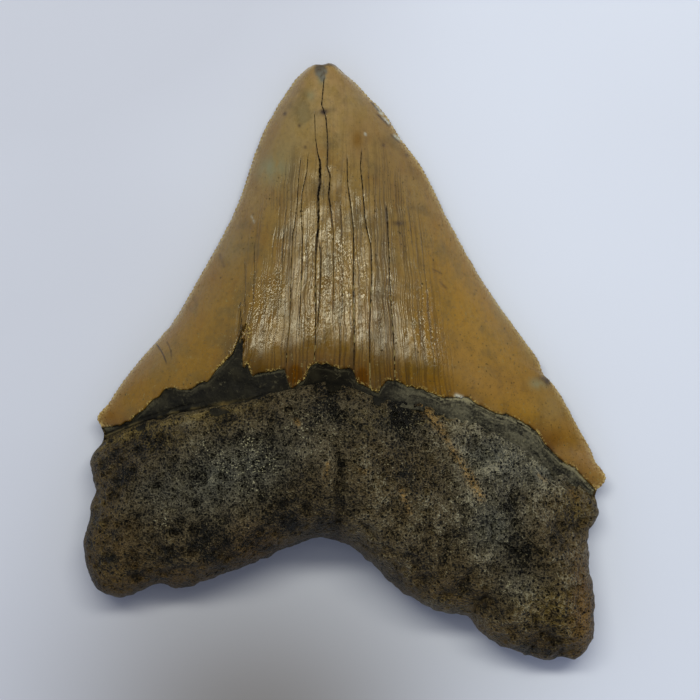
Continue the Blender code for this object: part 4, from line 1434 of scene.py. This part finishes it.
@dataclass(frozen=True)
class EnamelFinish:
    """Glossy ochre enamel with fine lengthwise streaks, dark cracks and grey or amber tints."""

    pale: Colour = shown(125, 103, 56)
    deep: Colour = shown(109, 81, 14)
    rich: Colour = shown(100, 66, 8)
    dark_amber: Colour = shown(62, 34, 0)
    low: Colour = shown(62, 46, 14)
    tongue: Colour = shown(84, 52, 0)
    streak: Colour = shown(50, 35, 12)
    line: Colour = shown(50, 36, 16)
    golden: Colour = shown(156, 118, 34)
    crack: Colour = shown(4, 3, 2)
    grey: Colour = shown(112, 110, 84)
    brown: Colour = shown(44, 30, 22)
    chip: Colour = shown(172, 176, 172)
    grain: Colour = shown(178, 158, 96)
    bead: Colour = shown(150, 138, 96)
    worn: Colour = shown(44, 34, 28)
    slate: Colour = shown(80, 82, 80)
    pinhead: Colour = shown(170, 146, 96)
    buff: Colour = shown(146, 122, 84)
    smudge: Colour = shown(86, 72, 38)
    rim: Colour = shown(172, 152, 100)
    outer_arc: Mark = (-42.79, -3.32, 8.87, -0.6, 3.3)
    inner_arc: Mark = (-38.23, 0.50, 4.81, 0.4, 3.7)
    roughness: float = 0.24
    relief: float = 0.17
    specular: float = 0.4
    dull_specular: float = 0.06

    @staticmethod
    def arc(x: Value, y: Value, mark: Mark) -> Value:
        """A hairline crack along the right part of a circle: middle, radius, and two heights between."""
        middle_x, middle_y, radius, low, high = mark
        away = ((x - middle_x) * (x - middle_x) + (y - middle_y) * (y - middle_y)) ** 0.5
        line = abs(away - radius).rise(0.2, 0.06) * (x - middle_x).rise(0.0, 0.1)
        return line * y.rise(low - 0.5, low + 0.8) * y.rise(high + 0.2, high - 0.4)

    def material(self) -> bpy.types.Material:
        """Makes the material."""
        graph = Graph("enamel")
        x, y, _ = graph.axes()
        wobble, shiver = graph.noise(9.0, 1.0), graph.noise(2.2, 1.0, stretch=(0.2, 1.0, 1.0))
        across = (x + 1.0) * (1.0 + y * 0.006) + 1.6 * wobble + 0.35 * shiver

        def lengthwise(size: float, detail: float, climb: float, seed: float) -> Value:
            """Noise that is drawn out up the crown."""
            return graph.noise(size, detail, at=graph.joined(across, y * climb, seed))

        hair, fine = lengthwise(0.45, 0.0, 0.03, 3.0), lengthwise(0.75, 0.0, 0.02, 11.0)
        broad, coarse = lengthwise(1.9, 2.0, 0.05, 7.0), lengthwise(1.7, 0.0, 0.02, 17.0)
        streaked, band, height = graph.mark("streaked"), graph.mark("band"), graph.mark("height")
        amber, lip, crack, gloss = (graph.mark(name) for name in ("amber", "lip", "crack", "gloss"))
        patchy = graph.noise(4.5, 2.0, stretch=(1.0, 0.25, 1.0))
        strength = (streaked * (patchy.rise(0.3, 0.6) * 0.45 + 0.5) + band * 0.3).lowest(1.0)
        thin_lines = abs(fine - 0.5).rise(0.09, 0.02) * patchy.rise(0.62, 0.42)
        thick_lines = abs(coarse - 0.5).rise(0.055, 0.015)
        streaks = (hair.rise(0.4, 0.26) * 0.5 + thin_lines * 0.85 + thick_lines * 0.6).lowest(1.0) * strength

        tone, smudges = graph.noise(13.0, 4.0), graph.noise(6.0, 4.0)
        soft = graph.noise(2.6, 5.0, stretch=(1.0, 0.55, 1.0))
        mottle = graph.noise(0.9, 4.0, roughness=0.7)
        dots, speck = graph.noise(0.45, 2.0), graph.noise(0.36, 2.0)
        clear = 1.0 - amber.lowest(1.0)
        grains = speck.rise(0.5, 0.58) * lip.rise(0.4, 0.85) * graph.noise(2.2, 2.0).rise(0.42, 0.56)
        scar = graph.mix(graph.mark("slate") * mottle.rise(0.3, 0.6), self.worn, self.slate)
        arcs = self.arc(x, y, self.outer_arc).highest(self.arc(x, y, self.inner_arc) * 0.7)
        broken = graph.noise(0.8, 2.0, stretch=(1.0, 0.5, 1.0))
        ragged = graph.noise(0.45, 1.0)
        crack_gap = (crack + (ragged - 0.5) * 1.6 - height.rise(0.7, 0.85) * 0.15).rise(0.15, 0.55) * (
            broken.rise(0.36, 0.52) * 0.35 + 0.65)
        filling = graph.mix(broken.rise(0.54, 0.6) * y.rise(22.0, 12.0) * 0.6, self.crack, self.bead)
        base = graph.mix((height * 1.25 + (tone - 0.5) * 0.9 - 0.2).rise(0.0, 1.0), self.deep, self.pale)
        colour = graph.painted(
            base,
            (soft.rise(0.45, 0.75) * 0.4, self.rich),
            (graph.mark("buff") * soft.rise(0.3, 0.62) * 0.75, self.buff),
            (smudges.rise(0.5, 0.68) * 0.6, self.smudge),
            # Painted light: lighter and golden on the right wing.
            (graph.mark("golden") * soft.rise(0.2, 0.6), self.golden),
            (streaked * height.rise(0.42, 0.24) * (0.65 - x.rise(3.0, 11.0) * 0.4), self.low),
            ((amber * 0.7).lowest(0.9), self.rich),
            ((amber - 0.55).rise(0.0, 0.5), self.tongue),
            ((lip * 0.35 + amber * lip * 0.9).lowest(0.9), self.dark_amber),
            ((streaked * broad.rise(0.4, 0.8) * 0.25 + band * 0.22).lowest(1.0) * clear, self.streak),
            (mottle.rise(0.45, 0.8) * 0.45, self.streak),
            (dots.rise(0.58, 0.75) * clear * 0.3, self.pinhead),
            (graph.mark("edge") * soft.rise(0.25, 0.55) * 0.8, self.rich),
            (dots.rise(0.42, 0.28) * 0.35, self.streak),
            (graph.mark("grey").lowest(1.0) * soft.rise(0.2, 0.6), self.grey),
            (streaks * 0.74, self.line),
            ((graph.mark("rim") * 1.6).lowest(1.0) * speck.rise(0.38, 0.55), self.rim),
            (grains * 0.85, self.grain),
            (graph.mark("chip").lowest(1.0) * dots.rise(0.3, 0.5), self.chip),
            (graph.mark("brown").lowest(1.0), self.brown),
            ((graph.mark("worn") + (mottle - 0.5) * 0.9).rise(0.25, 0.75) * 0.9, scar),
            (arcs * graph.mark("lingual") * 0.85, self.brown),
            (crack.rise(0.0, 0.15) * soft.rise(0.4, 0.6) * 0.5, self.brown),
            (crack_gap, filling))

        lean = graph.joined(x - y * 0.4, y * 0.45 + x * 0.2, 0.0)
        wrinkle = graph.noise(0.36, 1.0, at=lean, distortion=0.6)
        ripples = graph.noise(2.2, 3.0, stretch=(1.0, 0.8, 1.0))
        swell = graph.noise(3.4, 1.0, at=graph.joined(x - y * 0.35, y * 0.4 + x * 0.1, 5.0))
        heights = (wrinkle * (gloss * 0.7 + 0.15) + ripples * (gloss * 0.5 + 0.5) - streaks * 0.5
                   + broad * streaked * 0.7 + swell * streaked * 3.0)
        shine = graph.noise(1.6, 4.0, stretch=(1.0, 0.35, 1.0))
        roughness = (self.roughness + amber * 0.6 + (shine - 0.5) * 0.6 - gloss.lowest(1.0) * 0.12
                     + graph.mark("edge") * 0.1 + crack_gap * 0.7 + graph.mark("worn") * 0.3 + band * 0.1)
        made = graph.finish(Base_Color=colour, Roughness=roughness.highest(0.1),
                            Normal=graph.bump(heights, self.relief), Specular_IOR_Level=self.specular)
        dull = (amber - 0.5).rise(0.0, 0.4).highest(crack_gap)
        dull = dull.highest(streaked * height.rise(0.37, 0.27) * 0.8)
        right_wing = x.rise(26.0, 38.0) * (y + 18.0).rise(0.0, 3.0)
        graph.dulled(dull.highest(right_wing * 0.6), self.dull_specular)
        return made


@dataclass(frozen=True)
class BourletteFinish:
    """Charcoal, half smooth, with faint pale veins; grey and as grainy as the root to the right."""

    dark: Colour = shown(5, 4, 3)
    cloudy: Colour = shown(28, 26, 19)
    grey: Colour = shown(90, 88, 76)
    black: Colour = shown(14, 14, 12)
    vein: Colour = shown(96, 92, 74)
    seam: Colour = shown(5, 5, 4)
    ochre: Colour = shown(104, 86, 48)
    flake: Colour = shown(92, 82, 54)
    fibre: Colour = shown(140, 132, 100)
    fringe: Colour = shown(128, 124, 104)
    roughness: float = 0.6
    relief: float = 0.2
    specular: float = 0.12

    def material(self) -> bpy.types.Material:
        """Makes the material."""
        graph = Graph("bourlette")
        x, _, _ = graph.axes()
        cloud, grit = graph.noise(3.2, 5.0), graph.noise(0.42, 3.0, roughness=0.7)
        pale = graph.mark("pale")
        layers = graph.noise(0.6, 2.0, at=graph.joined(graph.mark("below"), x * 0.12, cloud * 2.0))
        tone = 0.5 + (grit - 0.5) * 1.3 + (cloud - 0.5) * 1.4 + (layers - 0.5) * 0.8
        vein = abs(graph.noise(2.6, 4.0, distortion=0.8) - 0.5).rise(0.018, 0.0)
        colour = graph.painted(
            graph.mix(cloud.rise(0.4, 0.75), self.dark, self.cloudy),
            (pale.lowest(1.0), graph.mix(tone.rise(0.1, 0.95), self.black, self.grey)),
            (vein * graph.noise(2.6, 2.0).rise(0.5, 0.62) * 0.4, self.vein),
            (grit.rise(0.6, 0.7) * (pale * 0.3 + 0.06), self.fibre),
            (graph.mark("fringe") * (layers * 0.7 + grit * 0.3).rise(0.45, 0.6), self.fringe),
            (graph.mark("seam") * (1.0 - pale.lowest(1.0) * 0.7) * 0.85, self.seam),
            (graph.mark("flake") * cloud.rise(0.42, 0.56) * 0.6, self.flake),
            (graph.mark("ochre").lowest(1.0) * grit.rise(0.3, 0.55), self.ochre))
        normal = graph.bump(grit * (0.35 + pale * 0.6) + graph.noise(1.6, 4.0), self.relief)
        under_peak = (x + 11.0).rise(-5.0, 5.0) * (4.0 - x).rise(0.0, 6.0)
        roughness = self.roughness - pale * 0.05 + (cloud - 0.5) * 0.3 + under_peak * 0.4
        return graph.finish(Base_Color=colour, Roughness=roughness, Normal=normal,
                            Specular_IOR_Level=self.specular)


@dataclass(frozen=True)
class RootFinish:
    """Dark grained root: brown, with cool grey, olive and rust zones, pores darkened with painted shade, and
    pale specks that are partly painted glints.
    """

    black: Colour = shown(5, 4, 2)
    brown: Colour = shown(74, 64, 45)
    cool: Colour = shown(76, 79, 76)
    light: Colour = shown(156, 152, 134)
    speck: Colour = shown(176, 174, 150)
    olive: Colour = shown(92, 78, 36)
    warm: Colour = shown(88, 64, 34)
    rust: Colour = shown(108, 84, 44)
    ochre: Colour = shown(140, 112, 66)
    skin: Colour = shown(80, 62, 30)
    ledge: Colour = shown(104, 90, 52)
    roughness: float = 0.55
    relief: float = 0.7
    specular: float = 0.2

    def material(self) -> bpy.types.Material:
        """Makes the material."""
        graph = Graph("root")
        x, _, _ = graph.axes()
        zone, cloud = graph.noise(13.0, 3.0), graph.noise(3.6, 4.0, roughness=0.6)
        mid, grain, dust = graph.noise(1.1, 3.0, roughness=0.6), graph.noise(0.5, 1.0), graph.noise(0.32, 0.0)
        fibre, fibrous = graph.noise(0.5, 1.0, stretch=(1.0, 0.3, 1.0)), x.rise(-2.0, 12.0)
        relief, cool, dark, glints = (graph.mark(name) for name in ("relief", "cool", "dark", "sparkle"))
        tint = graph.painted(
            graph.mix((cool + (zone - 0.5) * 0.8).lowest(1.0).highest(0.0), self.brown, self.cool),
            (graph.mark("olive").lowest(1.0) * mid.rise(0.35, 0.6), self.olive),
            (graph.mark("warm").lowest(1.0), self.warm))
        # The terms in x make the tone lighter to the right as painted light; dark brings in the painted shade
        # on the left.
        tone = (0.5 + (grain - 0.5) * 0.6 + (dust - 0.5) * 0.9 + (mid - 0.5) * 0.8 + (cloud - 0.5) * 1.2
                + (zone - 0.5) * 1.3 + (fibre - 0.5) * fibrous * 0.8 + fibrous * 0.04
                + x.rise(14.0, 30.0) * 0.07 + relief * 0.16 - dark * 0.44 + cool * 0.05)
        lightest = (tone * 2.0 - 1.2).highest(0.0).lowest(1.0)
        flecked = grain * 0.7 + mid * 0.5
        # Pale specks, partly grains and partly painted glints, thicker in the sparkle zones.
        specks_and_painted_glints = mid * 0.7 + cloud * 0.3 + cool * 0.12 + glints * 0.25
        specks_and_painted_glints = dust.rise(0.64, 0.76) * specks_and_painted_glints.rise(0.5, 0.72)
        # Pores: small pits darkened to black with painted shade, and sunk by the bump.
        hole, which = graph.cells(0.9)
        pit, other = graph.cells(0.55)
        holes = (hole.rise(0.36, 0.18) * which.rise(0.5, 0.56)).highest(
            pit.rise(0.42, 0.2) * other.rise(0.4, 0.48) * 0.75)
        colour = graph.painted(
            graph.mix((tone * 2.0).highest(0.0).lowest(1.0), self.black, tint),
            # Painted light: more of the light coat towards the right.
            (lightest * (x.rise(0.0, 26.0) * 0.16 + 0.44), self.light),
            (graph.mark("rust").lowest(1.0) * flecked.rise(0.46, 0.66), self.rust),
            (graph.mark("ochre").lowest(1.0) * flecked.rise(0.46, 0.7) * 0.9, self.ochre),
            (specks_and_painted_glints * (glints * 0.6 + cool * 0.2 + 0.34).lowest(0.95), self.speck),
            (graph.mark("skin") * cloud.rise(0.35, 0.6) * (x.rise(10.0, 30.0) * 0.2 + 0.6), self.skin),
            (graph.mark("ledge") * (mid * 0.6 + cloud * 0.4).rise(0.4, 0.56) * 0.85, self.ledge),
            (holes, self.black))
        height = mid + grain * 0.9 + dust * 0.7 + cloud + fibre * fibrous * 0.7 + specks_and_painted_glints * 0.2 - holes * 0.9
        roughness = self.roughness + (mid - 0.5) * 0.4 - cool * 0.1 - glints * 0.1
        return graph.finish(Base_Color=colour, Roughness=roughness, Normal=graph.bump(height, self.relief),
                            Specular_IOR_Level=self.specular)


# ----------------------------------------------------------------------------------------------------- studio

class Slot(Enum):
    """The record's material slots."""

    ROOT = "root"
    BOURLETTE = "bourlette"
    ENAMEL = "enamel"


def shift_to(lowest: Vector, highest: Vector, outline: Outline) -> Array:
    """The shift in millimetres that brings the outline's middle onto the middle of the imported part's box."""
    rim = outline.loop(220)
    wanted = np.array((lowest + highest) / 2.0)[:2] / MM
    return np.array((*(wanted - (rim.min(axis=0) + rim.max(axis=0)) / 2.0), 0.0))


@dataclass(frozen=True)
class Floor:
    """A pale floor that the tooth lies on, with painted shade to the left and at the top left, and a painted
    soft shadow in front.
    """

    size: float = 1.6
    colour: Colour = shown(212, 222, 255)
    painted_shade: Colour = shown(190, 197, 226)
    painted_shadow: Colour = shown(92, 86, 82)
    painted_shadow_x: tuple[float, float] = (-17.0, 42.0)
    painted_shadow_y: tuple[float, float] = (-74.0, 36.0)
    painted_shadow_share: float = 0.8
    roughness: float = 0.75
    specular: float = 0.2

    def build(self) -> bpy.types.Object:
        mesh = bpy.data.meshes.new("floor")
        half = self.size / 2.0
        corners = [(-half, -half, 0.0), (half, -half, 0.0), (half, half, 0.0), (-half, half, 0.0)]
        mesh.from_pydata(corners, [], [(0, 1, 2, 3)])
        made = placed("floor", mesh)
        graph = Graph("floor")
        x, y, _ = graph.axes()
        # Painted shade: the floor darker to the left and at the top left, with soft blotches.
        side = (graph.noise(60.0, 2.0) * 0.3 + 0.15).lowest(1.0) + (-x).rise(-40.0, 60.0) * 0.6
        side = side + y.rise(35.0, 75.0) * x.rise(30.0, -10.0) * 0.35
        # Painted shadow: a soft dark patch in front of the tooth.
        away_x, away_y = ((axis - middle) / reach for axis, (middle, reach) in (
            (x, self.painted_shadow_x), (y, self.painted_shadow_y)))
        painted_shadow = (-(away_x * away_x + away_y * away_y)).exponential()
        colour = graph.painted(self.colour, (side.lowest(1.0), self.painted_shade), (painted_shadow * self.painted_shadow_share, self.painted_shadow))
        mesh.materials.append(graph.finish(Base_Color=colour, Roughness=self.roughness,
                                           Specular_IOR_Level=self.specular))
        return made


@dataclass(frozen=True)
class Lamp:
    """A rectangular lamp aimed at the origin."""

    name: str
    place: Colour
    size: tuple[float, float]
    power: float
    colour: Colour

    def build(self) -> bpy.types.Object:
        """Makes the lamp."""
        light = bpy.data.lights.new(self.name, "AREA")
        light.shape = "RECTANGLE"
        light.size, light.size_y = self.size
        light.energy, light.color = self.power, self.colour
        made = placed(self.name, light)
        made.location = self.place
        made.rotation_mode = "QUATERNION"
        made.rotation_quaternion = (-Vector(self.place)).to_track_quat("-Z", "Y")
        return made


@dataclass(frozen=True)
class Studio:
    """Lamps, sky and the camera that looks straight down."""

    camera_height: float = 0.45
    frame_width: float = 0.1365
    scale_plane: float = 0.004
    sensor: float = 36.0
    aim: tuple[float, float] = (0.975, 2.1)
    sky: Colour = (0.915, 0.955, 1.0)
    sky_strength: float = 0.515
    dark_overhead: tuple[float, float] = (0.66, 0.93)
    darker_overhead: float = 0.88
    lamps: tuple[Lamp, ...] = (
        Lamp("ceiling", (0.0, 0.325, 0.78), (0.84, 0.12), 5.9, (1.0, 0.95, 0.7)),
        Lamp("ceiling_edge", (0.0, 0.17, 0.82), (0.66, 0.18), 0.6, (1.0, 0.95, 0.7)),
        Lamp("window", (1.0, 0.25, 0.12), (0.17, 0.17), 0.6, (0.98, 0.99, 1.0)))

    def build(self, move: Array) -> None:
        """Makes the lamps, the sky and the camera."""
        for lamp in self.lamps:
            lamp.build()
        graph = Graph("sky", sky=True)
        way = graph.node("SeparateXYZ", inputs={0: graph.node("TexCoord").outputs["Generated"]})
        overhead = Value(graph, way.outputs[2]).rise(*self.dark_overhead)
        scene = bpy.context.scene
        scene.world = graph.finish(
            Color=self.sky, Strength=(1.0 - overhead * self.darker_overhead) * self.sky_strength)
        scene.view_settings.view_transform = "Standard"
        lens = bpy.data.cameras.new("camera")
        lens.sensor_width = self.sensor
        lens.lens = self.sensor * (self.camera_height - self.scale_plane) / self.frame_width
        camera = placed("camera", lens)
        camera.location = ((self.aim[0] + move[0]) * MM, (self.aim[1] + move[1]) * MM, self.camera_height)
        scene.camera = camera


def main() -> None:
    """Builds the tooth's pieces and the studio around them."""
    logging.basicConfig(level=logging.INFO, format="%(name)s: %(message)s")
    form = ToothForm()
    move = shift_to(*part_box(NODE), form.outline)
    pieces = (
        (EnamelCrown().build(form, move), Slot.ENAMEL, EnamelFinish()),
        (Bourlette().build(form, move), Slot.BOURLETTE, BourletteFinish()),
        (RootBlock().build(form, move), Slot.ROOT, RootFinish()),
    )
    for piece, slot, finish in pieces:
        piece.data.materials.append(finish.material())
        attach(piece, BODY)
        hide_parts(NODE)
    Floor().build()
    Studio().build(move)
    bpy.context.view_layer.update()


if __name__ == "__main__":
    main()
